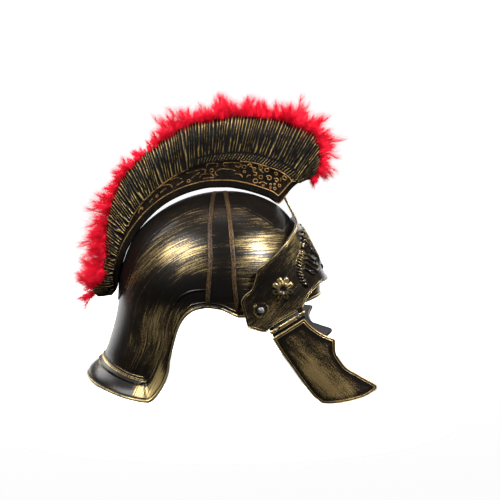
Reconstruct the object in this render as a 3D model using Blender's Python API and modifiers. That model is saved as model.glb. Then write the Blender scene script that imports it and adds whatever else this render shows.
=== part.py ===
"""Costume helmet of Roman pattern, in thin moulded plastic.

A domed shell with a flared nape, a tall pleated crest holder edged with a feather trim,
a pointed frontlet that turns on two temple rivets, and two cheek guards on pin hinges.
The helmet faces +X with +Z up, and the origin is where the top of the head touches the
inside of the dome.  Tables are in millimetres, and objects in metres.
"""

import math

import bmesh
import bpy
import numpy as np
from mathutils import Matrix, Vector

MM = 0.001

# ---------------------------------------------------------------- driving dimensions, mm
WALL = 2.0                      # plastic of the shell, frontlet and cheek guards
CREST_WALL = 1.8
DOME_X = 12.0                   # the dome's vertical centre line
DOME_Z = -98.0                  # height of its widest level
DOME_RISE = 100.0               # from that level to the top of its outer skin
DOME_SIDE = 88.0
NECK_DROP = 67.0                # from the widest level to the narrow of the neck
NECK_SPREAD = 15.5              # how far the back leans out over that drop
NECK_CURVE = 1.7                # exponent of that lean
NECK_TUCK = 4.0                 # how far the sides draw in
FLARE_HEIGHT = 20.0             # height of the turned-out neck flange
BEAD_WIDTH = 3.0                # rolled rim
BEAD_HEIGHT = 1.2
RIDGE_HEIGHT = 2.4              # step above the neck flange

FRONTLET_SIDE = 91.8            # half width of the frontlet's outer skin
FRONTLET_TIP_X = 69.8           # its centre line leans forward from this point
FRONTLET_TIP_Z = -3.0
FRONTLET_LEAN = 0.527           # forward travel for each millimetre down
FRONTLET_SQUARE = 3.4           # exponent of its plan curve; 2 is an ellipse

PIVOT_X = 42.6                  # temple rivets
PIVOT_Z = -111.3
PIVOT_HOLE = 2.3
RIVET_SHANK = 1.9
RIVET_HEAD = 3.4
BOSS_RADIUS = 8.0
BOSS_FACE_Y = 92.6

HINGE_REAR = (53.7, -90.0, -133.5)      # right hinge pin, ends of its axis
HINGE_FRONT = (83.0, -86.0, -115.8)
KNUCKLE_RADIUS = 2.7
KNUCKLE_BORE = 1.5
PIN_RADIUS = 1.1
FRONTLET_KNUCKLES = ((-1.5, 5.0), (32.5, 38.5))   # start and end along the pin
CHEEK_BARREL = (7.5, 30.0)
PIN_REACH = (-2.2, 39.2)
CHEEK_BULGE = 4.0
CHEEK_LEAN = 5.0                # both guards hang with their lower ends this far in
LEFT_CHEEK_SWING = 60.0         # degrees the left guard is swung in from hanging

CREST_HALF_WIDTH = 11.0
TRIM_GAP = 0.6
TRIM_HALF_WIDTH = 19.0

# Reach of the dome's outer skin from its centre, by the angle down from the crown.
DOME_REACH = (
    # angle_deg, front, rear
    (0, 100.0, 100.0),
    (15, 99.5, 101.4),
    (30, 98.6, 103.9),
    (45, 95.8, 107.4),
    (60, 92.4, 111.3),
    (75, 92.8, 112.6),
    (90, 94.7, 115.0),
)

# The shell's rim on one side.  A fan of lines runs from the crown down to it.
SHELL_RIM = (
    # crown_deg, rim_deg, rim_z, flare
    (0, 0.0, -104.0, 0),
    (20, 20.0, -105.5, 0),
    (33, 33.0, -107.7, 0),
    (60, 60.0, -114.0, 0),
    (77, 77.0, -119.6, 0),
    (84, 84.2, -119.6, 0),
    (89, 88.6, -117.2, 0),
    (96, 95.0, -111.6, 0),
    (103, 101.5, -110.1, 0),
    (110, 107.0, -112.0, 0),
    (116, 112.2, -118.5, 0),
    (122, 116.0, -131.0, 0),
    (127, 117.7, -150.0, 0),
    (132, 118.3, -173.0, 1),
    (137, 121.4, -193.0, 4),
    (143, 128.0, -207.6, 9),
    (150, 137.0, -205.4, 13),
    (160, 149.0, -200.0, 16),
    (171, 165.0, -193.0, 18),
    (180, 180.0, -187.0, 18),
)

# The frontlet's edges from its centre line round to the temple tab.
FRONTLET_EDGES = (
    # plan_deg, low_z, high_z
    (0.0, -86.4, -3.3),
    (0.5, -86.4, -7.0),
    (1.2, -86.4, -11.0),
    (2.4, -86.3, -15.5),
    (4.4, -86.2, -20.0),
    (7.2, -86.0, -23.3),
    (11.4, -85.8, -25.6),
    (18.9, -85.7, -28.4),
    (25.0, -86.8, -31.3),
    (32.2, -90.0, -35.0),
    (41.1, -96.3, -40.8),
    (46.0, -102.2, -44.8),
    (51.2, -110.5, -49.0),
    (59.2, -117.2, -56.6),
    (66.7, -124.2, -63.7),
    (71.5, -129.8, -68.3),
    (73.3, -133.3, -70.2),
    (74.3, -133.6, -75.1),
    (76.0, -133.2, -82.3),
    (78.6, -131.6, -90.8),
    (81.9, -128.9, -95.2),
    (83.0, -118.6, -97.4),
    (84.6, -104.0, -101.6),
)

# Sections of the crest holder from its rear end over the top to its nose.
CREST_SECTIONS = (
    # inner_x, inner_z, outer_x, outer_z, width, trim
    (-110.5, -105.0, -125.5, -107.0, 0.45, 5),
    (-105.3, -97.5, -131.0, -101.0, 0.90, 14),
    (-101.8, -81.5, -120.0, -86.5, 1.00, 22),
    (-95.3, -60.0, -117.9, -58.5, 1.00, 23),
    (-85.0, -41.0, -116.0, -35.5, 1.00, 23),
    (-71.1, -23.8, -111.8, -10.4, 1.00, 21),
    (-55.3, -10.2, -101.4, 14.6, 1.00, 18),
    (-39.7, -1.6, -79.4, 38.7, 1.00, 15),
    (-24.0, 4.0, -53.3, 58.5, 1.00, 15),
    (-7.3, 7.2, -26.1, 74.2, 1.00, 15),
    (8.4, 7.5, 1.0, 79.4, 1.00, 16),
    (24.0, 5.4, 30.3, 82.1, 1.00, 16),
    (39.7, 1.2, 58.5, 79.1, 1.00, 17),
    (52.2, -3.4, 83.6, 71.6, 1.00, 19),
    (62.7, -9.4, 99.3, 62.7, 1.00, 19),
    (68.0, -4.2, 105.9, 49.1, 0.95, 18),
    (73.2, 3.1, 106.6, 35.5, 0.90, 16),
    (77.9, 8.9, 103.5, 22.5, 0.80, 13),
    (82.6, 14.1, 96.1, 15.3, 0.45, 5),
)

# Half section of the crest holder, from its open underside to its rounded top.
CREST_PROFILE = (
    # share_of_height, share_of_half_width
    (0.00, 1.00),
    (0.30, 1.00),
    (0.34, 1.10),
    (0.70, 1.05),
    (0.88, 0.86),
    (0.97, 0.50),
    (1.00, 0.00),
)

# Outline of the right cheek guard, along the hinge pin and down from it.
CHEEK_REAR = ((-3.3, 6.0), (-3.0, 21.8), (-1.5, 39.9), (0.0, 58.0), (2.5, 78.8), (7.0, 91.8))
CHEEK_UPPER_FRONT = ((34.5, 6.0), (36.5, 15.2), (42.6, 29.5), (51.1, 41.0))
CHEEK_LOWER_FRONT = ((51.1, 41.0), (44.6, 56.0), (45.5, 68.7), (53.3, 86.7), (64.6, 107.6))
CHEEK_BOTTOM = ((7.0, 91.8), (14.1, 96.4), (33.4, 104.9), (50.4, 109.4), (64.6, 107.6))


# ---------------------------------------------------------------- curves and tables
def column(table, key_column, value_column, keys):
    """Values read off one column of a table by a smooth curve through its rows."""
    rows = np.array(table, float)
    return smooth(rows[:, key_column], rows[:, value_column], keys)


def smooth(knots, values, keys):
    """A cubic through the knots that keeps flat or straight runs free of overshoot."""
    knots = np.asarray(knots, float)
    values = np.asarray(values, float)
    keys = np.clip(np.asarray(keys, float), knots[0], knots[-1])
    step = np.diff(knots)
    slope = np.diff(values) / step
    tangent = np.zeros_like(values)
    same_sign = slope[:-1] * slope[1:] > 0
    total = np.where(same_sign, slope[:-1] + slope[1:], 1.0)
    tangent[1:-1] = np.where(same_sign, 2.0 * slope[:-1] * slope[1:] / total, 0.0)
    tangent[0] = slope[0]
    tangent[-1] = slope[-1]
    index = np.clip(np.searchsorted(knots, keys, side="right") - 1, 0, len(step) - 1)
    width = step[index]
    t = (keys - knots[index]) / width
    start = (2 * t ** 3 - 3 * t ** 2 + 1) * values[index]
    leave = (t ** 3 - 2 * t ** 2 + t) * width * tangent[index]
    end = (-2 * t ** 3 + 3 * t ** 2) * values[index + 1]
    arrive = (t ** 3 - t ** 2) * width * tangent[index + 1]
    return start + leave + end + arrive


def along(points, shares):
    """Points at the given shares of the length of a smooth curve through the points."""
    points = np.array(points, float)
    gaps = np.linalg.norm(np.diff(points, axis=0), axis=1)
    knots = np.concatenate([[0.0], np.cumsum(gaps)]) / gaps.sum()
    return np.stack([smooth(knots, axis, shares) for axis in points.T], axis=-1)


# ---------------------------------------------------------------- scene helpers
def clear_scene():
    for obj in list(bpy.data.objects):
        bpy.data.objects.remove(obj, do_unlink=True)


def make_collection(name):
    group = bpy.data.collections.new(name)
    bpy.context.scene.collection.children.link(group)
    return group


def material(name, colour, roughness, metallic):
    mat = bpy.data.materials.new(name)
    mat.use_nodes = True
    shader = mat.node_tree.nodes["Principled BSDF"]
    shader.inputs["Base Color"].default_value = (*colour, 1.0)
    shader.inputs["Roughness"].default_value = roughness
    shader.inputs["Metallic"].default_value = metallic
    mat.diffuse_color = (*colour, 1.0)
    return mat


def add_object(name, mesh, group, mat=None):
    obj = bpy.data.objects.new(name, mesh)
    group.objects.link(obj)
    if mat is not None:
        mesh.materials.append(mat)
    return obj


def mesh_from(name, vertices, faces):
    """A mesh in metres from millimetre points, smooth-shaded."""
    used = np.unique(np.concatenate([np.array(face) for face in faces]))
    place = np.zeros(len(vertices), int)
    place[used] = np.arange(len(used))
    faces = [tuple(place[list(face)].tolist()) for face in faces]
    mesh = bpy.data.meshes.new(name)
    mesh.from_pydata((np.asarray(vertices)[used] * MM).tolist(), [], faces)
    mesh.shade_smooth()
    mesh.set_sharp_from_angle(angle=math.radians(40))
    return mesh


def grid_faces(rows, columns, wrap=False, start=0):
    """Quads between neighbouring rows of a grid whose rows run one after another."""
    faces = []
    last = columns if wrap else columns - 1
    for r in range(rows - 1):
        for c in range(last):
            a = start + r * columns + c
            b = start + r * columns + (c + 1) % columns
            faces.append((a, a + columns, b + columns, b))
    return faces


def solidify(obj, thickness):
    wall = obj.modifiers.new("wall", "SOLIDIFY")
    wall.thickness = thickness * MM
    wall.offset = -1.0
    wall.use_even_offset = True


def boolean(obj, tool, operation):
    cut = obj.modifiers.new(tool.name, "BOOLEAN")
    cut.object = tool
    cut.operation = operation
    cut.solver = "EXACT"


def hide_tool(obj):
    obj.hide_render = True
    obj.display_type = "WIRE"


def rod(name, radius, start, end, group, mat=None, sides=16):
    """A cylinder between two points."""
    start = Vector(start)
    end = Vector(end)
    mesh = bpy.data.meshes.new(name)
    bm = bmesh.new()
    bmesh.ops.create_cone(bm, cap_ends=True, segments=sides, radius1=radius * MM,
                          radius2=radius * MM, depth=(end - start).length * MM)
    bm.to_mesh(mesh)
    bm.free()
    mesh.shade_smooth()
    mesh.set_sharp_from_angle(angle=math.radians(40))
    obj = add_object(name, mesh, group, mat)
    obj.location = (start + end) * 0.5 * MM
    obj.rotation_mode = "QUATERNION"
    obj.rotation_quaternion = (end - start).to_track_quat("Z", "Y")
    return obj


# ---------------------------------------------------------------- the shell
def dome_point(turn, drop):
    """Outer skin above the widest level: an ellipse across, and a table front and rear."""
    side = 1 / np.sqrt(np.sin(drop) ** 2 / DOME_SIDE ** 2 + np.cos(drop) ** 2 / DOME_RISE ** 2)
    front = column(DOME_REACH, 0, 1, np.degrees(drop))
    rear = column(DOME_REACH, 0, 2, np.degrees(drop))
    ahead = np.where(np.cos(turn) > 0, front, rear)
    reach = ahead * np.cos(turn) ** 2 + side * np.sin(turn) ** 2
    return (DOME_X + ahead * np.sin(drop) * np.cos(turn),
            side * np.sin(drop) * np.sin(turn),
            DOME_Z + reach * np.cos(drop))


def neck_point(turn, z, flare):
    """Outer skin below the widest level: a half oval that leans out towards the nape."""
    share = np.clip((DOME_Z - z) / NECK_DROP, 0.0, 1.0)
    _, front, level_rear = DOME_REACH[-1]
    rear = level_rear + NECK_SPREAD * share ** NECK_CURVE
    side = DOME_SIDE - NECK_TUCK * share
    ahead = np.where(np.cos(turn) > 0, front, rear)
    out_x = np.cos(turn) / ahead
    out_y = np.sin(turn) / side
    length = np.hypot(out_x, out_y)
    return (DOME_X + ahead * np.cos(turn) + flare * out_x / length,
            side * np.sin(turn) + flare * out_y / length,
            z)


def shell_skin(crown_deg, above_rim):
    """Outer skin on the line that leaves the crown at crown_deg, above_rim mm up it."""
    sign = np.sign(crown_deg)
    turn_deg = np.abs(crown_deg)
    rim_deg = column(SHELL_RIM, 0, 1, turn_deg)
    rim_z = column(SHELL_RIM, 0, 2, turn_deg)
    rim_flare = column(SHELL_RIM, 0, 3, turn_deg)
    below = np.maximum(DOME_Z - rim_z - above_rim, 0.0)
    share = below / (DOME_Z - rim_z)
    over = np.maximum(above_rim - (DOME_Z - rim_z), 0.0)
    arc = DOME_RISE * math.pi / 2
    drop = np.clip(1.0 - over / arc, 0.0, 1.0) * math.pi / 2
    bend = np.radians(turn_deg + (rim_deg - turn_deg) * share ** 1.5)
    turned = np.clip(1.0 - above_rim / FLARE_HEIGHT, 0.0, 1.0)
    flare = rim_flare * np.sin(turned * math.pi / 2)
    ridge = np.clip(1.0 - np.abs(above_rim - FLARE_HEIGHT) / 3.0, 0.0, 1.0)
    bead = np.where(above_rim < BEAD_WIDTH, BEAD_HEIGHT, 0.0)
    step = flare + bead + ridge * RIDGE_HEIGHT * np.clip(rim_flare / 9.0, 0.0, 1.0)
    low = neck_point(bend, DOME_Z - below, step)
    high = dome_point(np.radians(turn_deg), drop)
    x = np.where(below > 0, low[0], high[0])
    y = np.where(below > 0, low[1], high[1])
    z = np.where(below > 0, low[2], high[2])
    return np.stack([x, y * np.where(sign < 0, -1.0, 1.0), z], axis=-1)


def shell_columns():
    """Crown angles of the fan lines, closer together where the rim turns the nape."""
    front = np.linspace(0.0, 104.0, 20, endpoint=False)
    turn = np.linspace(104.0, 148.0, 17, endpoint=False)
    back = np.linspace(148.0, 180.0, 6)
    half = np.concatenate([front, turn, back])
    return np.concatenate([half, -half[-2:0:-1]])


def shell_rows(crown_deg):
    """Distances above the rim of each fan line's points, from near the crown down."""
    rim_z = column(SHELL_RIM, 0, 2, np.abs(crown_deg))
    length = DOME_RISE * math.pi / 2 + DOME_Z - rim_z
    edge = np.array([FLARE_HEIGHT, 17.0, 10.0, BEAD_WIDTH + 0.4, BEAD_WIDTH - 0.4, 0.0])
    shares = np.linspace(0.0, 1.0, 11)[1:]
    upper = length[None, :] * (1 - shares[:, None]) + (FLARE_HEIGHT + 4.0) * shares[:, None]
    lower = np.repeat(edge[:, None], len(crown_deg), axis=1)
    return np.concatenate([upper, lower])


def make_shell(group, tools, mat):
    columns = shell_columns()
    rows = shell_rows(columns)
    skin = shell_skin(np.broadcast_to(columns, rows.shape), rows)
    crown = np.array([[DOME_X, 0.0, DOME_Z + DOME_RISE]])
    count = len(columns)
    fan = [(0, 1 + c, 1 + (c + 1) % count) for c in range(count)]
    faces = fan + grid_faces(len(rows), count, wrap=True, start=1)
    mesh = mesh_from("shell", np.concatenate([crown, skin.reshape(-1, 3)]), faces)
    shell = add_object("shell", mesh, group, mat)
    solidify(shell, WALL)
    for side in (-1, 1):
        hole = rod(f"shell_rivet_hole_{side_name(side)}", PIVOT_HOLE,
                   (PIVOT_X, side * 70.0, PIVOT_Z), (PIVOT_X, side * 95.0, PIVOT_Z), tools)
        hide_tool(hole)
        boolean(shell, hole, "DIFFERENCE")
    return shell


def side_name(side):
    return "right" if side < 0 else "left"


# ---------------------------------------------------------------- the crest
def crest_rings(samples):
    """Closed rings of the crest holder, one for each sample from rear end to nose."""
    rows = np.array(CREST_SECTIONS, float)
    shares = np.linspace(0.0, 1.0, samples)
    inner = along(rows[:, 0:2], shares)
    outer = along(rows[:, 2:4], shares)
    knots = np.linspace(0.0, 1.0, len(rows))
    width = smooth(knots, rows[:, 4], shares) * CREST_HALF_WIDTH
    height_share, width_share = np.array(CREST_PROFILE).T
    heights = np.concatenate([height_share, height_share[-2::-1], [0.0]])
    widths = np.concatenate([-width_share, width_share[-2::-1], [0.0]])
    centre = inner[:, None, :] + (outer - inner)[:, None, :] * heights[None, :, None]
    across = width[:, None] * widths[None, :]
    return np.stack([centre[..., 0], across, centre[..., 1]], axis=-1)


def make_crest_holder(group, mat):
    samples = 45
    rings = crest_rings(samples)
    count = rings.shape[1]
    foot_start = int(samples * 0.10)
    foot_end = int(samples * 0.78)
    faces = []
    for face in grid_faces(samples, count, wrap=True):
        ring = face[0] // count
        place = face[0] % count
        underside = place >= count - 2
        if not (underside and foot_start <= ring < foot_end):
            faces.append(face)
    ends = [tuple(range(count)), tuple(range(samples * count - 1, (samples - 1) * count - 1, -1))]
    mesh = mesh_from("crest_holder", rings.reshape(-1, 3), faces + ends)
    holder = add_object("crest_holder", mesh, group, mat)
    solidify(holder, CREST_WALL)
    return holder


def make_feather_trim(group, mat):
    """One soft form that sits along the crest's edge, flat below and rounded above."""
    samples = 40
    rows = np.array(CREST_SECTIONS, float)
    shares = np.linspace(0.02, 0.98, samples)
    edge = along(rows[:, 2:4], shares)
    tangent = np.gradient(edge, axis=0)
    tangent /= np.linalg.norm(tangent, axis=1, keepdims=True)
    out = np.stack([-tangent[:, 1], tangent[:, 0]], axis=-1)
    knots = np.linspace(0.0, 1.0, len(rows))
    height = smooth(knots, rows[:, 5], shares)
    swell = np.clip(height / 12.0, 0.4, 1.0)
    around = np.radians(np.linspace(0.0, 180.0, 9))
    lift = TRIM_GAP + np.sin(around)[None, :] * height[:, None]
    across = np.cos(around)[None, :] * TRIM_HALF_WIDTH * swell[:, None]
    centre = edge[:, None, :] + out[:, None, :] * lift[..., None]
    rings = np.stack([centre[..., 0], -across, centre[..., 1]], axis=-1)
    count = rings.shape[1]
    faces = grid_faces(samples, count, wrap=True)
    ends = [tuple(range(count)), tuple(range(samples * count - 1, (samples - 1) * count - 1, -1))]
    return add_object("feather_trim", mesh_from("feather_trim", rings.reshape(-1, 3), faces + ends),
                      group, mat)


# ---------------------------------------------------------------- the frontlet
def frontlet_skin(plan_deg, z):
    """Outer skin: a squarish half oval in plan whose front leans forward with depth."""
    turn = np.radians(plan_deg)
    front = FRONTLET_TIP_X + FRONTLET_LEAN * (FRONTLET_TIP_Z - z)
    ahead = np.cos(turn)
    beside = (1 - ahead ** FRONTLET_SQUARE) ** (1 / FRONTLET_SQUARE)
    return np.stack([DOME_X + (front - DOME_X) * ahead,
                     FRONTLET_SIDE * beside * np.sign(plan_deg), z], axis=-1)


def make_frontlet_band(group, mat):
    half = [row[0] for row in FRONTLET_EDGES]
    half = np.sort(np.concatenate([half, [15.0, 36.7, 55.2, 63.0]]))
    plan = np.concatenate([-half[:0:-1], half])
    low = column(FRONTLET_EDGES, 0, 1, np.abs(plan))
    high = column(FRONTLET_EDGES, 0, 2, np.abs(plan))
    shares = np.linspace(0.0, 1.0, 9)[:, None]
    z = high[None, :] * (1 - shares) + low[None, :] * shares
    skin = frontlet_skin(np.broadcast_to(plan, z.shape), z)
    mesh = mesh_from("frontlet", skin.reshape(-1, 3), grid_faces(len(shares), len(plan)))
    frontlet = add_object("frontlet", mesh, group, mat)
    solidify(frontlet, WALL)
    return frontlet


def octagon(name, centre, radius, depth, group):
    """An eight-sided boss standing on the Y axis."""
    mesh = bpy.data.meshes.new(name)
    bm = bmesh.new()
    bmesh.ops.create_cone(bm, cap_ends=True, segments=8, radius1=radius * MM,
                          radius2=radius * MM, depth=depth * MM)
    bmesh.ops.rotate(bm, verts=bm.verts, matrix=Matrix.Rotation(math.radians(22.5), 3, "Z"))
    bmesh.ops.rotate(bm, verts=bm.verts, matrix=Matrix.Rotation(math.radians(90), 3, "X"))
    bm.to_mesh(mesh)
    bm.free()
    obj = add_object(name, mesh, group)
    obj.location = Vector(centre) * MM
    return obj


def relief_disc(name, plan_deg, z, radius, height, group, squash=1.0):
    """A low cushion of moulded ornament standing on the frontlet's skin."""
    near = np.array([plan_deg, plan_deg + 1.0, plan_deg])
    level = np.array([z, z, z + 1.0])
    spot, beside, above = (Vector(p) for p in frontlet_skin(near, level))
    normal = (beside - spot).cross(above - spot).normalized()
    if normal.x < 0:
        normal = -normal
    mesh = bpy.data.meshes.new(name)
    bm = bmesh.new()
    bmesh.ops.create_uvsphere(bm, u_segments=14, v_segments=8, radius=MM)
    bmesh.ops.scale(bm, verts=bm.verts, vec=(radius * squash, radius, height))
    root = [v for v in bm.verts if v.co.z < 0]
    bmesh.ops.scale(bm, verts=root, vec=(1.0, 1.0, 0.4 * WALL / height))
    bm.to_mesh(mesh)
    bm.free()
    obj = add_object(name, mesh, group)
    obj.location = spot * MM
    obj.rotation_mode = "QUATERNION"
    obj.rotation_quaternion = normal.to_track_quat("Z", "Y")
    hide_tool(obj)
    return obj


def hinge_axis(side):
    """Rear end, unit direction and length of a hinge pin's axis; side is -1 for right."""
    flip = Vector((1, -side, 1))
    start = Vector(HINGE_REAR) * flip
    end = Vector(HINGE_FRONT) * flip
    return start, (end - start).normalized(), (end - start).length


def hinge_frame(side):
    """Origin and the axes along the pin, down the guard and out of it."""
    start, pin, _ = hinge_axis(side)
    down = Vector((0, 0, -1))
    down = (down - pin * down.dot(pin)).normalized()
    down = Matrix.Rotation(math.radians(-side * CHEEK_LEAN), 3, pin) @ down
    out = pin.cross(down)
    if out.y * side < 0:
        out = -out
    return start, pin, down, out


def leaf(name, side, span, top, bottom, half_depth, group):
    """A flat tongue in the guard's plane, over a span of the pin, from top to bottom."""
    start, pin, down, out = hinge_frame(side)
    mesh = bpy.data.meshes.new(name)
    bm = bmesh.new()
    bmesh.ops.create_cube(bm, size=MM)
    size = (span[1] - span[0], bottom - top, 2 * half_depth)
    bmesh.ops.scale(bm, verts=bm.verts, vec=size)
    turn = Matrix((pin, down, out)).transposed()
    bmesh.ops.rotate(bm, verts=bm.verts, matrix=turn)
    if turn.determinant() < 0:
        bmesh.ops.reverse_faces(bm, faces=bm.faces)
    bm.to_mesh(mesh)
    bm.free()
    obj = add_object(name, mesh, group)
    centre = start + pin * (span[0] + span[1]) * 0.5 + down * (top + bottom) * 0.5
    obj.location = centre * MM
    hide_tool(obj)
    return obj


def on_pin(side, place):
    start, pin, _ = hinge_axis(side)
    return start + pin * place


def make_frontlet(group, tools, mat):
    frontlet = make_frontlet_band(group, mat)
    for side in (-1, 1):
        name = side_name(side)
        boss = octagon(f"boss_{name}", (PIVOT_X, side * (BOSS_FACE_Y - 2.0), PIVOT_Z),
                       BOSS_RADIUS, 4.0, tools)
        rosette = relief_disc(f"rosette_{name}", side * 59.6, -91.3, 10.5, 2.2, tools, 0.8)
        for tool in (boss, rosette):
            hide_tool(tool)
            boolean(frontlet, tool, "UNION")
        for number, span in enumerate(FRONTLET_KNUCKLES):
            inside = (span[0] + 0.4, span[1] - 0.4)
            tongue = leaf(f"frontlet_leaf_{name}_{number}", side, inside, -8.0, -1.2, 1.2, tools)
            boolean(frontlet, tongue, "UNION")
            knuckle = rod(f"frontlet_knuckle_{name}_{number}", KNUCKLE_RADIUS,
                          on_pin(side, span[0]), on_pin(side, span[1]), tools)
            hide_tool(knuckle)
            boolean(frontlet, knuckle, "UNION")
    for number, (plan_deg, z, radius, squash) in enumerate(eagle_masses()):
        mass = relief_disc(f"eagle_mass_{number}", plan_deg, z, radius, 3.2, tools, squash)
        boolean(frontlet, mass, "UNION")
    for side in (-1, 1):
        name = side_name(side)
        bore = rod(f"frontlet_bore_{name}", KNUCKLE_BORE, on_pin(side, -6.0),
                   on_pin(side, 44.0), tools)
        hole = rod(f"frontlet_rivet_hole_{name}", PIVOT_HOLE, (PIVOT_X, side * 80.0, PIVOT_Z),
                   (PIVOT_X, side * 95.0, PIVOT_Z), tools)
        for tool in (bore, hole):
            hide_tool(tool)
            boolean(frontlet, tool, "DIFFERENCE")
    return frontlet


def eagle_masses():
    """Body, head and two spread wings of the ornament on the brow."""
    body = (0.01, -64.0, 15.0, 0.55)
    head = (0.01, -46.0, 7.0, 0.8)
    wings = [(side * 17.0, -66.0, 18.0, 0.8) for side in (-1, 1)]
    return [body, head] + wings


# ---------------------------------------------------------------- rivets and pins
def make_rivet(side, group, mat):
    """A domed head outside, a shank through frontlet and shell, and a flat tail inside."""
    head_y = BOSS_FACE_Y + 0.4
    tail_y = 78.9
    profile = [
        (0.0, head_y + 1.8),
        (RIVET_HEAD * 0.55, head_y + 1.55),
        (RIVET_HEAD * 0.9, head_y + 0.8),
        (RIVET_HEAD, head_y),
        (RIVET_SHANK, head_y),
        (RIVET_SHANK, tail_y),
        (RIVET_HEAD, tail_y),
        (RIVET_HEAD, tail_y - 1.2),
        (0.0, tail_y - 1.2),
    ]
    name = f"temple_rivet_{side_name(side)}"
    mesh = bpy.data.meshes.new(name)
    edges = [(i, i + 1) for i in range(len(profile) - 1)]
    mesh.from_pydata([(r * MM, 0.0, z * MM) for r, z in profile], edges, [])
    rivet = add_object(name, mesh, group, mat)
    screw = rivet.modifiers.new("turn", "SCREW")
    screw.steps = 20
    screw.render_steps = 20
    screw.use_merge_vertices = True
    screw.merge_threshold = 0.00005
    rivet.location = Vector((PIVOT_X, 0.0, PIVOT_Z)) * MM
    rivet.rotation_euler = (math.radians(-90 * side), 0.0, 0.0)
    return rivet


def make_hinge_pin(side, group, mat):
    return rod(f"hinge_pin_{side_name(side)}", PIN_RADIUS, on_pin(side, PIN_REACH[0]),
               on_pin(side, PIN_REACH[1]), group, mat, sides=12)


# ---------------------------------------------------------------- the cheek guards
def cheek_patch(rows, columns):
    """Grid over the guard's outline: a blend of its four edges, along the pin and down."""
    cusp = 0.36
    down = np.concatenate([np.linspace(0.0, cusp, int(rows * cusp) + 1),
                           np.linspace(cusp, 1.0, rows - int(rows * cusp))[1:]])
    upper = down <= cusp
    front = np.where(upper[:, None],
                     along(CHEEK_UPPER_FRONT, np.clip(down / cusp, 0.0, 1.0)),
                     along(CHEEK_LOWER_FRONT, np.clip((down - cusp) / (1 - cusp), 0.0, 1.0)))
    rear = along(CHEEK_REAR, down)
    over = np.linspace(0.0, 1.0, columns)
    bottom = along(CHEEK_BOTTOM, over)
    start = np.array(CHEEK_REAR[0])
    end = np.array(CHEEK_UPPER_FRONT[0])
    top = start + (end - start) * over[:, None]
    u = over[None, :, None]
    v = down[:, None, None]
    sides = rear[:, None, :] * (1 - u) + front[:, None, :] * u
    ends = top[None] * (1 - v) + bottom[None] * v
    corners = ((1 - u) * (1 - v) * top[0] + u * (1 - v) * top[-1]
               + (1 - u) * v * bottom[0] + u * v * bottom[-1])
    return sides + ends - corners, u[..., 0], v[..., 0]


def make_cheek_guard(side, group, tools, mat):
    """The guard hangs from its pin; the left one is then swung inwards about it."""
    name = f"cheek_guard_{side_name(side)}"
    start, pin, down, out = hinge_frame(side)
    flat, u, v = cheek_patch(15, 9)
    bulge = CHEEK_BULGE * (4 * u * (1 - u)) * np.sqrt(np.clip(v, 0.0, 1.0))
    edge_step = WALL * 0.5
    skin = (np.array(start) + flat[..., 0:1] * np.array(pin) + flat[..., 1:2] * np.array(down)
            + (bulge[..., None] + edge_step) * np.array(out))
    faces = grid_faces(*flat.shape[:2])
    if side > 0:
        faces = [face[::-1] for face in faces]
    mesh = mesh_from(name, skin.reshape(-1, 3), faces)
    guard = add_object(name, mesh, group, mat)
    solidify(guard, WALL)
    tongue = leaf(f"{name}_leaf", side, (CHEEK_BARREL[0] + 0.5, CHEEK_BARREL[1] - 0.5),
                  1.0, 8.5, 1.0, tools)
    barrel = rod(f"{name}_barrel", KNUCKLE_RADIUS, on_pin(side, CHEEK_BARREL[0]),
                 on_pin(side, CHEEK_BARREL[1]), tools)
    bore = rod(f"{name}_bore", KNUCKLE_BORE, on_pin(side, -6.0), on_pin(side, 44.0), tools)
    for tool, operation in ((tongue, "UNION"), (barrel, "UNION"), (bore, "DIFFERENCE")):
        hide_tool(tool)
        boolean(guard, tool, operation)
    if side > 0:
        swing_in([guard, tongue, barrel, bore], side, group)
    return guard


def swing_in(objects, side, group):
    """Parent the objects to an empty on the hinge axis and turn it towards the face."""
    start, pin, _ = hinge_axis(side)
    empty = bpy.data.objects.new(f"hinge_{side_name(side)}", None)
    group.objects.link(empty)
    empty.location = start * MM
    bpy.context.view_layer.update()
    for obj in objects:
        obj.parent = empty
        obj.matrix_parent_inverse = empty.matrix_world.inverted()
    empty.rotation_mode = "AXIS_ANGLE"
    empty.rotation_axis_angle = (math.radians(-LEFT_CHEEK_SWING), *pin)


# ---------------------------------------------------------------- assembly
def main():
    clear_scene()
    parts = make_collection("roman_costume_helmet")
    tools = make_collection("cutters")
    black_gold = material("black_gold_plastic", (0.05, 0.042, 0.026), 0.35, 0.5)
    gilt = material("gilt_pleats", (0.12, 0.09, 0.04), 0.4, 0.6)
    feather = material("red_feather", (0.75, 0.01, 0.03), 0.9, 0.0)
    steel = material("rivet_steel", (0.45, 0.45, 0.46), 0.35, 1.0)
    make_shell(parts, tools, black_gold)
    make_crest_holder(parts, gilt)
    make_feather_trim(parts, feather)
    make_frontlet(parts, tools, black_gold)
    for side in (-1, 1):
        make_rivet(side, parts, steel)
        make_hinge_pin(side, parts, steel)
        make_cheek_guard(side, parts, tools, black_gold)


main()
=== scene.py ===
"""Costume helmet of Roman pattern: moulded shell, pleated feather crest, brow plate, cheek guards.

The helmet faces +X with +Z up.  Shapes are worked out in millimetres and put down in metres.
"""

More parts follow.
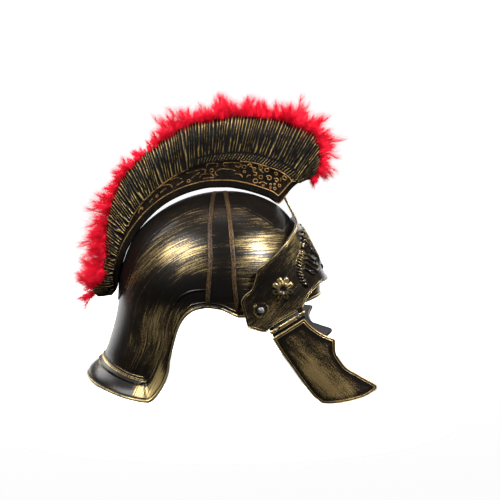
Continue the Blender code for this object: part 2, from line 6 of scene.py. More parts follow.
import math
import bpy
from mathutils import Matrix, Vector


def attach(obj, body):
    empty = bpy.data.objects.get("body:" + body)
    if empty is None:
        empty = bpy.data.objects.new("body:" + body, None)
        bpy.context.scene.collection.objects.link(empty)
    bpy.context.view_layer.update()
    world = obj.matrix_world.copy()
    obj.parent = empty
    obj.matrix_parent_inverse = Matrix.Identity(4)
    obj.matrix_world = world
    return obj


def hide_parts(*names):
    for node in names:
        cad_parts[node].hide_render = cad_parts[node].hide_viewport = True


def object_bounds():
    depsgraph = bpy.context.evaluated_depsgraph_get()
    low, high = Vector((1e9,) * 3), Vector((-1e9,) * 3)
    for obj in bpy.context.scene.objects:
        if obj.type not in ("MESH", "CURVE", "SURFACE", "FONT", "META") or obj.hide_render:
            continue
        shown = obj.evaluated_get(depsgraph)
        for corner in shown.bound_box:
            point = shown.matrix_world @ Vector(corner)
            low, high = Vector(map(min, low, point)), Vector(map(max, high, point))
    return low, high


bl_info = {
    "name": "Roman Costume Helmet",
    "version": (1, 0, 0),
    "blender": (4, 5, 0),
    "location": "View3D > Sidebar > Helmet",
    "description": "Moulded helmet with a pleated feather crest, brow plate and cheek guards",
    "category": "Add Mesh",
}

import bpy
import numpy as np
from bpy.props import FloatProperty, FloatVectorProperty, IntProperty, PointerProperty
from mathutils import Matrix, Vector

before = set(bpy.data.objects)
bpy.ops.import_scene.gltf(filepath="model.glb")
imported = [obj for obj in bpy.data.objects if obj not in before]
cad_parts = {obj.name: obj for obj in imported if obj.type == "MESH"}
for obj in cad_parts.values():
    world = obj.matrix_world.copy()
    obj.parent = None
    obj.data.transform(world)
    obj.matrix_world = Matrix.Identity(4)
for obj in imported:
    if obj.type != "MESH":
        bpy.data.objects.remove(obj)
SOLID_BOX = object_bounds()
MM = 0.001
UP = np.array([0.0, 0.0, 1.0])
SIDES = {-1: "right", 1: "left"}

# ---------------------------------------------------------------- colours
BLACK = (0.0045, 0.0038, 0.0032)
BARE_GREY = (0.150, 0.149, 0.153)
GOLD = (0.54, 0.40, 0.17)
BROWN_WASH = (0.066, 0.040, 0.017)
WASH_LOAD = 0.6  # how closely the brown wash follows the load of gold
WASH_EDGE = 0.07
RIB_BRONZE = (0.17, 0.10, 0.045)
PLEAT_GOLD = (0.42, 0.30, 0.10)
LINE_GOLD = (0.56, 0.33, 0.12)
CHEEK_GOLD = (0.77, 0.54, 0.22)
BARREL_GOLD = (0.95, 0.74, 0.36)
RED = (0.92, 0.006, 0.030)
STEEL_PIT = (0.06, 0.06, 0.065)
STEEL_BRIGHT = (0.62, 0.63, 0.66)

# ---------------------------------------------------------------- tables of the mould, mm
DOME_X = 12.0  # the dome's centre, at its widest level
DOME_Z = -98.0
DOME_RISE = 100.0
DOME_SIDE = 88.0
NECK_DROP = 67.0  # from the widest level down to where the neck has its full spread
NECK_SPREAD = 15.5
NECK_CURVE = 1.7
NECK_TUCK = 4.0
FLARE_HEIGHT = 20.0

# Reach of the dome from its centre, by the angle down from the crown.
DOME_REACH = (
    # angle_deg, front, rear
    (0, 100.0, 100.0),
    (15, 99.5, 101.4),
    (30, 98.6, 103.9),
    (45, 95.8, 107.4),
    (60, 92.4, 111.3),
    (75, 92.8, 112.6),
    (90, 94.7, 115.0),
)

# The shell's rim on one side.  A fan of lines runs from the crown down to it.
SHELL_RIM = (
    # crown_deg, rim_deg, rim_z, flare
    (0, 0.0, -104.0, 0),
    (20, 20.0, -105.5, 0),
    (33, 33.0, -107.7, 0),
    (60, 60.0, -114.0, 0),
    (77, 77.0, -119.6, 0),
    (84, 84.2, -119.6, 0),
    (89, 88.6, -117.2, 0),
    (96, 95.0, -111.6, 0),
    (103, 101.5, -110.1, 0),
    (110, 107.0, -112.0, 0),
    (116, 112.2, -118.5, 0),
    (122, 116.0, -131.0, 0),
    (127, 117.7, -150.0, 0),
    (132, 118.3, -173.0, 1),
    (137, 121.4, -193.0, 4),
    (143, 128.0, -207.6, 9),
    (150, 137.0, -205.4, 13),
    (160, 149.0, -200.0, 16),
    (171, 165.0, -193.0, 18),
    (180, 180.0, -187.0, 18),
)

# Brush strokes on the shell: they circle a hub above the ear, and lean out below it.
STROKE_HUB_X = 8.0
STROKE_HUB_Z = -141.0
STROKE_MM_PER_RADIAN = 95.0
STROKE_LEAN = 0.5
STROKE_LEAN_START = 12.0

# Where the gold was brushed on heavier or thinner over the shell, in side view, with painted light
# among it.
GOLD_LOADS_AND_PAINTED_LIGHT = (
    # x, z, half_length, half_height, amount
    # painted highlights: more gold on the two spots where the lamps shine back from the dome
    (-36, -55, 26, 20, 0.07),
    (48, -50, 26, 22, 0.07),
    # painted shade: less gold low on the dome, where shade falls
    (-25, -92, 46, 16, -0.20),
    (4, -70, 11, 60, -0.13),
    (5, 0, 90, 22, -0.08),
    (78, -20, 22, 18, -0.22),
    (-55, -150, 26, 30, -0.01),
    (-112, -196, 36, 13, -0.24),
    (-107, -194.5, 8.0, 4.0, 0.26),
    (-100, -120, 12, 60, -0.05),
    (-92, -170, 24, 18, -0.07),
    # painted shade: less gold low on the dome, where shade falls
    (-30, -100, 40, 10, -0.08),
)

# Half width of the raised saddle band, as an angle off the centre line, from rear to front.
SADDLE_EDGE = (
    # lengthwise_deg, half_width_deg
    (-96.0, 9.0),
    (-87.0, 18.0),
    (-77.0, 20.7),
    (-60.0, 23.4),
    (-43.0, 24.4),
    (-22.0, 24.6),
    (-6.0, 26.2),
    (7.0, 27.0),
    (21.0, 30.6),
    (31.0, 31.8),
    (38.0, 29.5),
    (46.0, 23.0),
)

SADDLE_SUNK = 0.4
SADDLE_REAR_REACH = 118.0

# The two raised ribs over each side: how far forward they lie, by the angle down the side.
SIDE_RIBS = (
    # side_deg, rear_x, front_x
    (-2.0, -3.1, 6.8),
    (24.0, -5.8, 9.1),
    (34.0, -7.0, 10.9),
    (46.0, -8.4, 12.3),
    (56.0, -8.6, 13.4),
    (68.0, -8.2, 14.8),
    (84.0, -10.0, 16.0),
    (95.0, -11.0, 18.2),
    (104.0, -11.0, 19.5),
)
RIB_ENDS = {1: 98.0, 2: 103.0}  # where the rear and the front rib stop, as side_deg

# Sections of the crest from its rear end over the top to its nose.
CREST_SECTIONS = (
    # inner_x, inner_z, outer_x, outer_z, width
    (-110.5, -105.0, -125.5, -107.0, 0.45),
    (-105.3, -97.5, -131.0, -101.0, 0.90),
    (-101.8, -81.5, -120.0, -86.5, 1.00),
    (-95.3, -60.0, -117.9, -58.5, 1.00),
    (-85.0, -41.0, -116.0, -35.5, 1.00),
    (-71.1, -23.8, -111.8, -10.4, 1.00),
    (-55.3, -10.2, -101.4, 14.6, 1.00),
    (-39.7, -1.6, -79.4, 38.7, 1.00),
    (-24.0, 4.0, -53.3, 58.5, 1.00),
    (-7.3, 7.2, -26.1, 74.2, 1.00),
    (8.4, 7.5, 1.0, 79.4, 1.00),
    (24.0, 5.4, 30.3, 82.1, 1.00),
    (39.7, 1.2, 58.5, 79.1, 1.00),
    (52.2, -3.4, 83.6, 71.6, 1.00),
    (62.7, -9.4, 99.3, 62.7, 1.00),
    (68.0, -4.2, 105.9, 49.1, 0.95),
    (73.2, 3.1, 106.6, 35.5, 0.90),
    (77.9, 8.9, 103.5, 22.5, 0.80),
    (82.6, 14.1, 96.1, 15.3, 0.45),
)

# Half section of the crest, from its open underside to its rounded top.
CREST_PROFILE = (
    # share_of_height, share_of_half_width
    (0.00, 1.00),
    (0.30, 1.00),
    (0.34, 1.06),
    (0.70, 1.05),
    (0.88, 0.86),
    (0.97, 0.50),
    (1.00, 0.00),
)

# Upper edge of the crest's frieze above its foot, and length of the feathers beyond its edge.
CREST_BANDS = (
    # share_of_length, frieze_mm, feather_mm
    (0.00, 1.5, 17.0),
    (0.03, 3.0, 26.0),
    (0.07, 6.0, 26.0),
    (0.12, 8.6, 20.0),
    (0.15, 9.2, 25.0),
    (0.20, 10.4, 25.0),
    (0.25, 12.4, 20.0),
    (0.29, 14.6, 13.0),
    (0.33, 16.6, 16.0),
    (0.38, 18.0, 13.0),
    (0.42, 19.4, 8.0),
    (0.45, 20.6, 13.0),
    (0.49, 22.6, 26.0),
    (0.53, 24.0, 20.0),
    (0.57, 25.0, 18.0),
    (0.64, 27.2, 24.0),
    (0.70, 28.8, 22.0),
    (0.76, 30.1, 18.0),
    (0.80, 30.2, 25.0),
    (0.87, 30.0, 24.0),
    (0.905, 24.5, 23.0),
    (0.95, 12.0, 20.0),
    (1.00, 3.0, 8.0),
)

# The feathers are pressed back where they would reach past these.
FEATHER_REAR_X = -150.0
FEATHER_TOP_Z = 104.0
FEATHER_EASE = 8.0

FRIEZE_END = 0.868  # share of the crest's length at the foot of the frieze's front post

# Ornament of the frieze, in mm along the foot and above it: open lines, rings and curls.
FRIEZE_LINES = (
    ((84, 12), (88.2, 14.2), (90.8, 12.7), (88.9, 11.3)),
    ((98.6, 12.1), (100.8, 12.6), (103, 13.1)),
    ((110.7, 19), (117, 18.3), (123.7, 15.2), (125, 11.6)),
    ((112, 13.2), (115.6, 13.8), (119.4, 14.4)),
    ((124.6, 19.9), (130, 20), (135.7, 16.2)),
    ((129.6, 11.8), (133, 12.7), (136.6, 13.6)),
    ((140.6, 20.6), (146, 19.8), (152.7, 20.8), (158.8, 18.9), (157.7, 16.7)),
    ((145.1, 14), (149, 16), (153.3, 17.7)),
    ((152.7, 12.4), (155, 15.2), (164.7, 14.3), (166.4, 10.6), (156, 10.6)),
    ((159.4, 21.7), (159.6, 25), (164, 25.6), (168.4, 25.3), (169.5, 23.2), (168, 21.9)),
    ((177, 22.3), (174.3, 23.1), (174.3, 25.6), (181.5, 26.2), (188.2, 26.8), (190.1, 24.8),
     (187.8, 22), (185, 23.6)),
    ((170.4, 12.5), (167.6, 15), (169, 17.9), (174.5, 19.5), (180.4, 19.1), (186.3, 18.3)),
    ((186.3, 15), (189.9, 15.4), (193, 14.4), (193.8, 12.8)),
    ((198, 26), (201, 24.4), (201.9, 21.2), (205.9, 20.3), (205.9, 17.7), (203.2, 17.9)),
    ((197.8, 13.6), (198.8, 16), (201.2, 16.6)),
    ((210.9, 11), (214.2, 13.7), (218.2, 12.8)),
    ((207, 25), (209.6, 23.4), (211.4, 22.6)),
    ((227.1, 24.4), (228.4, 23), (228.7, 21.4)),
)
FRIEZE_RINGS = (
    # along, above, radius
    (89.2, 14.2, 0.9), (108.1, 12.6, 1.1), (141.8, 12, 1.4), (164.1, 18.2, 1.6), (193, 23.8, 1.8),
    (194.5, 18.9, 1.1), (202.5, 24, 1.3), (213.3, 26.6, 1.8), (230.4, 26.6, 1.8),
    (210.5, 17.6, 1.7), (207, 12.2, 2.1), (215.6, 10.4, 0.9), (221.6, 14, 0.8), (225.1, 15.6, 0.9),
    (229.5, 17, 1.2), (223.1, 10.7, 0.8), (227.1, 11.8, 1.2),
)
FRIEZE_CURLS = (
    # along, above, radius, start_deg, sweep_deg
    (198, 26.2, 2.2, 200, -330), (207.2, 26.6, 2.6, 150, -420), (222.2, 26, 2, 160, -330),
    (217.9, 19.4, 2.9, 170, -400), (225, 20.2, 2.3, 170, -360),
)

# The brow plate's edges from its centre line round to the temple.
BROW_EDGES = (
    # plan_deg, low_z, high_z
    (0.0, -86.4, -3.3),
    (0.5, -86.4, -7.0),
    (1.2, -86.4, -11.0),
    (2.4, -86.3, -15.5),
    (4.4, -86.2, -20.0),
    (7.2, -86.0, -23.3),
    (11.4, -85.8, -25.6),
    (18.9, -85.7, -28.4),
    (25.0, -86.8, -31.3),
    (32.2, -90.0, -35.0),
    (41.1, -96.3, -40.8),
    (46.0, -102.2, -44.8),
    (51.2, -110.5, -49.0),
    (59.2, -117.2, -56.6),
    (66.7, -124.2, -63.7),
    (71.5, -129.8, -68.3),
    (73.3, -133.3, -70.2),
    (74.3, -133.6, -75.1),
    (76.0, -133.2, -82.3),
    (78.6, -131.6, -90.8),
    (81.9, -128.9, -95.2),
    (83.0, -118.6, -97.4),
    (84.6, -104.0, -101.6),
)
BROW_SIDE = 91.8
BROW_SQUARE = 3.4  # power of the plan's oval; 2 is an ellipse
BROW_TOP = (69.8, -3.0)  # x and z of the peak
BROW_LEAN = 0.527
EAGLE_Z = -58.0
EAGLE_SQUASH = 1.12
ROSETTE = (64.6, -90.2)  # x and z
TEMPLE = (42.6, -111.3)  # x and z of the rivets, on which the brow plate turns
BOSS_FACE_Y = 92.6
RIVET_HEAD = 2.3  # how far the head stands off the boss
RIVET_TAIL_Y = 77.7
HINGE_REAR = (53.7, -90.0, -133.5)  # the two ends of the right hinge's line
HINGE_FRONT = (83.0, -86.0, -115.8)
KNUCKLES = ((-1.5, 5.0), (32.5, 38.5))  # from and to, along the hinge pin
BARREL = (7.5, 30.0)
CHEEK_LEAN = 5.0  # degrees a hanging guard leans in
LEFT_SWING = 60.0  # degrees the left guard is swung in from hanging

# Outline of a cheek guard, along the hinge pin and down from it.
CHEEK_REAR = ((-3.3, 6.0), (-3.0, 21.8), (-1.5, 39.9), (0.0, 58.0), (2.5, 78.8), (7.0, 91.8))
CHEEK_UPPER_FRONT = ((34.5, 6.0), (36.5, 15.2), (42.6, 29.5), (51.1, 41.0))
CHEEK_LOWER_FRONT = ((51.1, 41.0), (44.6, 56.0), (45.5, 68.7), (53.3, 86.0), (62.0, 101.5),
                     (64.2, 105.6))
CHEEK_BOTTOM = ((7.0, 91.8), (14.1, 96.4), (33.4, 104.9), (50.4, 109.4), (59.0, 109.9),
                (63.0, 108.6), (64.2, 105.6))
CHEEK_CUSP = 0.36  # share of the guard's length from its top to the point of the scallop

# ---------------------------------------------------------------- the stage, m
CAMERA_TARGET = (0.0334, 0.0, -0.0585)
CAMERA_DISTANCE = 2.2
FOCAL_LENGTH = 151.6  # mm, at that distance
LIGHT_TARGET = (0.02, 0.0, -0.07)
LIGHTS = (
    # name, direction it shines from, distance, size, share of the full power
    ("soft_rear_right", (-0.62, -0.445, 0.636), 1.6, 0.62, 0.85),
    ("soft_front_right", (0.565, -0.524, 0.635), 1.6, 0.36, 1.3),
    ("soft_rear_left", (-0.62, 0.445, 0.636), 1.6, 0.62, 0.425),
    ("soft_front_left", (0.565, 0.524, 0.635), 1.6, 0.36, 0.65),
    ("soft_top", (0.0, 0.1, 1.0), 2.0, 1.2, 0.2),
    ("white_card", (0.0, 1.0, 0.0), 1.3, 1.5, 0.5),
    ("rear_card", (-0.85, 0.80, -0.20), 1.3, 0.75, 0.15),
)
SWING_ROOM = 0.027  # the cheek guards dip this far when the brow plate pivots down


# ---------------------------------------------------------------- settings
class ShellSettings(bpy.types.PropertyGroup):
    """Sizes and colours of the shell"""
    wall: FloatProperty(name="Wall", description="Thickness of the moulded plastic",
                        default=0.002, min=0.001, max=0.004, unit="LENGTH")
    rim: FloatProperty(name="Rim", description="Width of the rolled rim",
                       default=0.003, min=0.001, max=0.006, unit="LENGTH")
    saddle: FloatProperty(name="Saddle", description="Height of the band over the dome",
                          default=0.0017, min=0.0005, max=0.003, unit="LENGTH")
    rib: FloatProperty(name="Rib", description="Width of each rib over the side",
                       default=0.0050, min=0.002, max=0.008, unit="LENGTH")
    base: FloatVectorProperty(name="Plastic", description="Colour of the bare plastic",
                              default=BLACK, min=0, max=1, subtype="COLOR")
    gold: FloatVectorProperty(name="Gold", description="Colour of the brushed-on gold",
                              default=GOLD, min=0, max=1, subtype="COLOR")


class CrestSettings(bpy.types.PropertyGroup):
    """Sizes of the pleated crest"""
    half_width: FloatProperty(name="Half width", description="Half the crest's thickness",
                              default=0.011, min=0.005, max=0.02, unit="LENGTH")
    pleats: IntProperty(name="Pleats", description="Pleats along the crest's outer edge",
                        default=128, min=20, max=200)
    pleat_height: FloatProperty(name="Pleat height", description="Relief of the pleats",
                                default=0.0013, min=0.0, max=0.003, unit="LENGTH")
    foot: FloatProperty(name="Foot", description="Plain band below the frieze",
                        default=0.0078, min=0.002, max=0.015, unit="LENGTH")


class FeatherSettings(bpy.types.PropertyGroup):
    """Amount, thickness and colour of the feathers"""
    plumes: IntProperty(name="Plumes", description="Small plumes in the edging",
                        default=720, min=50, max=2000)
    barbs: IntProperty(name="Barbs", description="Barbs on each plume",
                       default=110, min=10, max=200)
    thickness: FloatProperty(name="Barb", description="Thickness of a barb at its root",
                             default=0.00027, min=0.0001, max=0.001, unit="LENGTH")
    colour: FloatVectorProperty(name="Dye", description="Colour of the feathers",
                                default=RED, min=0, max=1, subtype="COLOR")


class BrowSettings(bpy.types.PropertyGroup):
    """Sizes of the brow plate"""
    wall: FloatProperty(name="Wall", description="Thickness of the brow plate",
                        default=0.002, min=0.001, max=0.004, unit="LENGTH")
    ornament: FloatProperty(name="Ornament", description="Height of the eagle's relief",
                            default=0.0034, min=0.001, max=0.006, unit="LENGTH")


class CheekSettings(bpy.types.PropertyGroup):
    """Sizes of the cheek guards"""
    wall: FloatProperty(name="Wall", description="Thickness of a cheek guard",
                        default=0.002, min=0.001, max=0.004, unit="LENGTH")
    bulge: FloatProperty(name="Bulge", description="How far a guard swells outwards",
                         default=0.004, min=0.0, max=0.01, unit="LENGTH")


class StageSettings(bpy.types.PropertyGroup):
    """The light and the camera"""
    distance: FloatProperty(name="Distance", description="From the camera to the helmet",
                            default=CAMERA_DISTANCE, min=0.5, max=5.0, unit="LENGTH")
    height: FloatProperty(name="Camera height", description="Angle the camera looks down",
                          default=math.radians(5.0), subtype="ANGLE")
    turn: FloatProperty(name="Camera turn", description="Angle the camera stands to the rear",
                        default=math.radians(-1.2), subtype="ANGLE")
    light: FloatProperty(name="Light", description="Power of each soft light",
                         default=26.0, min=0.0, max=500.0, subtype="POWER")


# ---------------------------------------------------------------- curves and grids
def smooth(knots, values, keys):
    """A cubic through the knots whose slope is the harmonic mean of its neighbours'."""
    knots = np.asarray(knots, float)
    values = np.asarray(values, float)
    keys = np.clip(np.asarray(keys, float), knots[0], knots[-1])
    step = np.diff(knots)
    slope = np.diff(values) / step
    tangent = np.zeros_like(values)
    same_sign = slope[:-1] * slope[1:] > 0
    total = np.where(same_sign, slope[:-1] + slope[1:], 1.0)
    tangent[1:-1] = np.where(same_sign, 2.0 * slope[:-1] * slope[1:] / total, 0.0)
    tangent[0] = slope[0]
    tangent[-1] = slope[-1]
    index = np.clip(np.searchsorted(knots, keys, side="right") - 1, 0, len(step) - 1)
    width = step[index]
    t = (keys - knots[index]) / width
    start = (2 * t ** 3 - 3 * t ** 2 + 1) * values[index]
    leave = (t ** 3 - 2 * t ** 2 + t) * width * tangent[index]
    end = (-2 * t ** 3 + 3 * t ** 2) * values[index + 1]
    arrive = (t ** 3 - t ** 2) * width * tangent[index + 1]
    return start + leave + end + arrive


def column(table, value, keys):
    """One column of a table against its first, read by a smooth curve through its rows."""
    rows = np.array(table, float)
    return smooth(rows[:, 0], rows[:, value], keys)


def along(points, shares):
    """Points at the given shares of the length of a smooth curve through the points."""
    points = np.array(points, float)
    gaps = np.linalg.norm(np.diff(points, axis=0), axis=1)
    knots = np.concatenate([[0.0], np.cumsum(gaps)]) / gaps.sum()
    return np.stack([smooth(knots, axis, shares) for axis in points.T], axis=-1)


def ramp(values, low, high):
    """0 below low, 1 above high, and an S-curve between them."""
    t = np.clip((np.asarray(values, float) - low) / (high - low), 0.0, 1.0)
    return t * t * (3 - 2 * t)


def bead(distance, centre, width, height):
    """A half-round bead: height times the root of one minus the squared offset."""
    t = (np.asarray(distance, float) - centre) / (width / 2)
    return height * np.sqrt(np.clip(1 - t * t, 0.0, 1.0))


def band(distance, low, high, height, edge):
    """A flat raised band between low and high with edges eased over a short run."""
    return height * ramp(distance, low - edge / 2, low + edge / 2) * (
        1 - ramp(distance, high - edge / 2, high + edge / 2))


def up_to(values, full):
    """The values as shares of a full one, kept between 0 and 1."""
    return np.clip(values / full, 0, 1)


def beyond(values, ease):
    """What a value has past zero, less a soft start: it grows slowly within ease and then in
    full."""
    past = np.maximum(values, 0.0)
    return past - ease * (1 - np.exp(-past / ease))


def unit(vectors):
    """The vectors divided by their lengths."""
    return vectors / np.maximum(np.linalg.norm(vectors, axis=-1, keepdims=True), 1e-9)


def grid_normals(points, wrap_columns=False):
    """Unit normals of a grid: the cross product of its slopes along rows and columns."""
    if wrap_columns:
        sideways = np.roll(points, -1, 1) - np.roll(points, 1, 1)
    else:
        sideways = np.gradient(points, axis=1)
    return unit(np.cross(np.gradient(points, axis=0), sideways))


def facing(normals, points, centre):
    """The normals, turned about where they point towards the centre."""
    away = np.sum(normals * (points - np.asarray(centre)), axis=-1, keepdims=True)
    return np.where(away < 0, -normals, normals)


def grid_quads(rows, columns, wrap_columns=False):
    """Corner numbers of the quads of a grid stored row after row."""
    row = np.arange(rows - 1)[:, None] * columns
    here = np.arange(columns if wrap_columns else columns - 1)[None, :]
    after = (here + 1) % columns
    quads = np.stack([row + here, row + columns + here, row + columns + after, row + after], -1)
    return quads.reshape(-1, 4)


def end_fans(rings, sides, low, high):
    """Triangles that close a stack of rings towards the points numbered low and high."""
    first = np.arange(sides)
    last = first + (rings - 1) * sides
    return np.concatenate([np.stack([np.full(sides, low), np.roll(first, -1), first], -1),
                           np.stack([np.full(sides, high), last, np.roll(last, -1)], -1)])


def face_volume(points, faces):
    """Six times the volume under the faces, from fans of triangles."""
    total = 0.0
    for group in faces:
        for i in range(1, group.shape[1] - 1):
            a, b, c = points[group[:, 0]], points[group[:, i]], points[group[:, i + 1]]
            total += np.sum(a * np.cross(b, c))
    return total


def put_down(name, points, faces, finish, body, slot, replaces=(), sharp=None, **marks):
    """Make one object of the points in mm and groups of faces, outsides facing out."""
    points = np.ascontiguousarray(points, float).reshape(-1, 3)
    if face_volume(points - points.mean(0), faces) < 0:
        faces = [group[:, ::-1] for group in faces]
    corners = np.concatenate([group.ravel() for group in faces]).astype(np.int32)
    sides = np.concatenate([np.full(len(group), group.shape[1]) for group in faces])
    starts = np.concatenate([[0], np.cumsum(sides)[:-1]]).astype(np.int32)
    mesh = bpy.data.meshes.new(name)
    mesh.vertices.add(len(points))
    mesh.vertices.foreach_set("co", (points * MM).astype(np.float32).ravel())
    mesh.loops.add(len(corners))
    mesh.loops.foreach_set("vertex_index", corners)
    mesh.polygons.add(len(starts))
    mesh.polygons.foreach_set("loop_start", starts)
    mesh.update(calc_edges=True)
    for mark, values in marks.items():
        values = np.asarray(values, np.float32)
        if values.ndim == 1:
            mesh.attributes.new(mark, "FLOAT", "POINT").data.foreach_set("value", values)
        else:
            layer = mesh.attributes.new(mark, "FLOAT_VECTOR", "POINT")
            layer.data.foreach_set("vector", values.ravel())
    mesh.shade_smooth()
    if sharp is not None:
        mesh.set_sharp_from_angle(angle=math.radians(sharp))
    mesh.materials.append(finish)
    obj = bpy.data.objects.new(name, mesh)
    bpy.context.scene.collection.objects.link(obj)
    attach(obj, body)
    for node in replaces:
        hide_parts(node)


def sandwich(front, back):
    """Vertices and faces of a plate between two grids of one size, closed round its edge."""
    rows, columns = front.shape[:2]
    count = rows * columns
    number = np.arange(count).reshape(rows, columns)
    edge = np.concatenate([number[0, :], number[1:, -1], number[-1, -2::-1], number[-2:0:-1, 0]])
    after = np.roll(edge, -1)
    wall = np.stack([edge, after, after + count, edge + count], -1)
    quads = grid_quads(rows, columns)
    points = np.concatenate([front.reshape(-1, 3), back.reshape(-1, 3)])
    return points, [quads, quads[:, ::-1] + count, wall[:, ::-1]]


def tubes(paths, radii, normals, flat, sides, square=1.0):
    """Closed tapering tubes along many paths of one length: a flattened polygon in the plane
    of the surface normal and the sideways direction, carried along each path."""
    count, steps = paths.shape[:2]
    tangent = unit(np.gradient(paths, axis=1))
    across = unit(np.cross(tangent, normals))
    rise = unit(np.cross(across, tangent))
    turn = np.linspace(0, 2 * math.pi, sides, endpoint=False)
    wide = np.sign(np.cos(turn)) * np.abs(np.cos(turn)) ** square
    tall = np.sign(np.sin(turn)) * np.abs(np.sin(turn)) ** square * flat
    ring = (across[:, :, None] * wide[None, None, :, None]
            + rise[:, :, None] * tall[None, None, :, None])
    points = paths[:, :, None] + ring * radii[:, :, None, None]
    body = points.reshape(count, -1, 3)
    each = np.concatenate([body, paths[:, :1], paths[:, -1:]], axis=1)
    size = each.shape[1]
    quads = grid_quads(steps, sides, wrap_columns=True)
    fans = end_fans(steps, sides, size - 2, size - 1)
    offset = (np.arange(count) * size)[:, None, None]
    return each.reshape(-1, 3), [(quads[None] + offset).reshape(-1, 4),
                                 (fans[None] + offset).reshape(-1, 3)]


def join(pieces):
    """Several (points, faces) pairs as one."""
    points, faces, start = [], [], 0
    for part_points, part_faces in pieces:
        points.append(part_points)
        faces.extend(group + start for group in part_faces)
        start += len(part_points)
    return np.concatenate(points), faces


def join_gilded(parts):
    """Points, faces and gild of several ((points, faces), gild) pairs, each gild one number or
    one for every point."""
    points, faces = join([piece for piece, _ in parts])
    gild = [np.broadcast_to(amount, len(piece[0])) for piece, amount in parts]
    return points, faces, np.concatenate(gild)


def plate_marks(gild):
    """Marks of a plate from its front's gild: its back is bare."""
    return {"gild": np.concatenate([gild.ravel(), np.zeros(gild.size)]),
            "inside": np.concatenate([np.zeros(gild.size), np.ones(gild.size)])}


# ---------------------------------------------------------------- finishes
def new_node(tree, kind, **settings):
    """A new node with its settings; in_1 and the like are the values of numbered inputs."""
    made = tree.nodes.new(kind)
    for name, value in settings.items():
        if name.startswith("in_"):
            made.inputs[int(name[3:])].default_value = value
        else:
            setattr(made, name, value)
    return made


def point_value(tree, name, output="Fac"):
    """A value or vector that the mesh carries for each of its points."""
    return new_node(tree, "ShaderNodeAttribute", attribute_name=name).outputs[output]


def maths(tree, operation, first, second):
    """A Math node on two values, each a socket or a number."""
    made = new_node(tree, "ShaderNodeMath", operation=operation)
    for index, value in enumerate((first, second)):
        if isinstance(value, (int, float)):
            made.inputs[index].default_value = value
        else:
            tree.links.new(value, made.inputs[index])
    return made.outputs[0]


def plus(tree, first, *others):
    """The sum of two or more values."""
    for other in others:
        first = maths(tree, "ADD", first, other)
    return first


def times(tree, first, second):
    """The product of two values."""
    return maths(tree, "MULTIPLY", first, second)


def mix_colour(tree, share, first, second, blend="MIX"):
    """A colour mixed from two, each a socket or a plain colour."""
    made = new_node(tree, "ShaderNodeMix", data_type="RGBA", blend_type=blend)
    for socket, value in ((0, share), (6, first), (7, second)):
        if isinstance(value, tuple):
            made.inputs[socket].default_value = (*value, 1.0)
        elif isinstance(value, float):
            made.inputs[socket].default_value = value
        else:
            tree.links.new(value, made.inputs[socket])
    return made.outputs[2]


def map_range(tree, value, low, high, to_low=0.0, to_high=1.0):
    """A value between low and high carried to another range, and kept inside it."""
    made = new_node(tree, "ShaderNodeMapRange", in_1=low, in_2=high, in_3=to_low, in_4=to_high)
    tree.links.new(value, made.inputs[0])
    return made.outputs[0]


def stretched_noise(tree, vector, scale, detail, roughness):
    """Noise on a vector, scaled along, across and into the brush strokes."""
    mapping = new_node(tree, "ShaderNodeMapping")
    mapping.inputs["Scale"].default_value = scale
    tree.links.new(vector, mapping.inputs[0])
    noise = new_node(tree, "ShaderNodeTexNoise")
    noise.inputs["Scale"].default_value = 1.0
    noise.inputs["Detail"].default_value = detail
    noise.inputs["Roughness"].default_value = roughness
    tree.links.new(mapping.outputs[0], noise.inputs["Vector"])
    return noise.outputs[0]


def raise_bumps(tree, shader, height, strength, distance):
    """Fine relief from a height, with its depth in metres."""
    bump = new_node(tree, "ShaderNodeBump")
    bump.inputs["Strength"].default_value = strength
    bump.inputs["Distance"].default_value = distance
    tree.links.new(height, bump.inputs["Height"])
    tree.links.new(bump.outputs[0], shader.inputs["Normal"])


def new_finish(name):
    """A new material, its node tree and its shader."""
    finish = bpy.data.materials.new(name)
    finish.use_nodes = True
    return finish, finish.node_tree, finish.node_tree.nodes["Principled BSDF"]


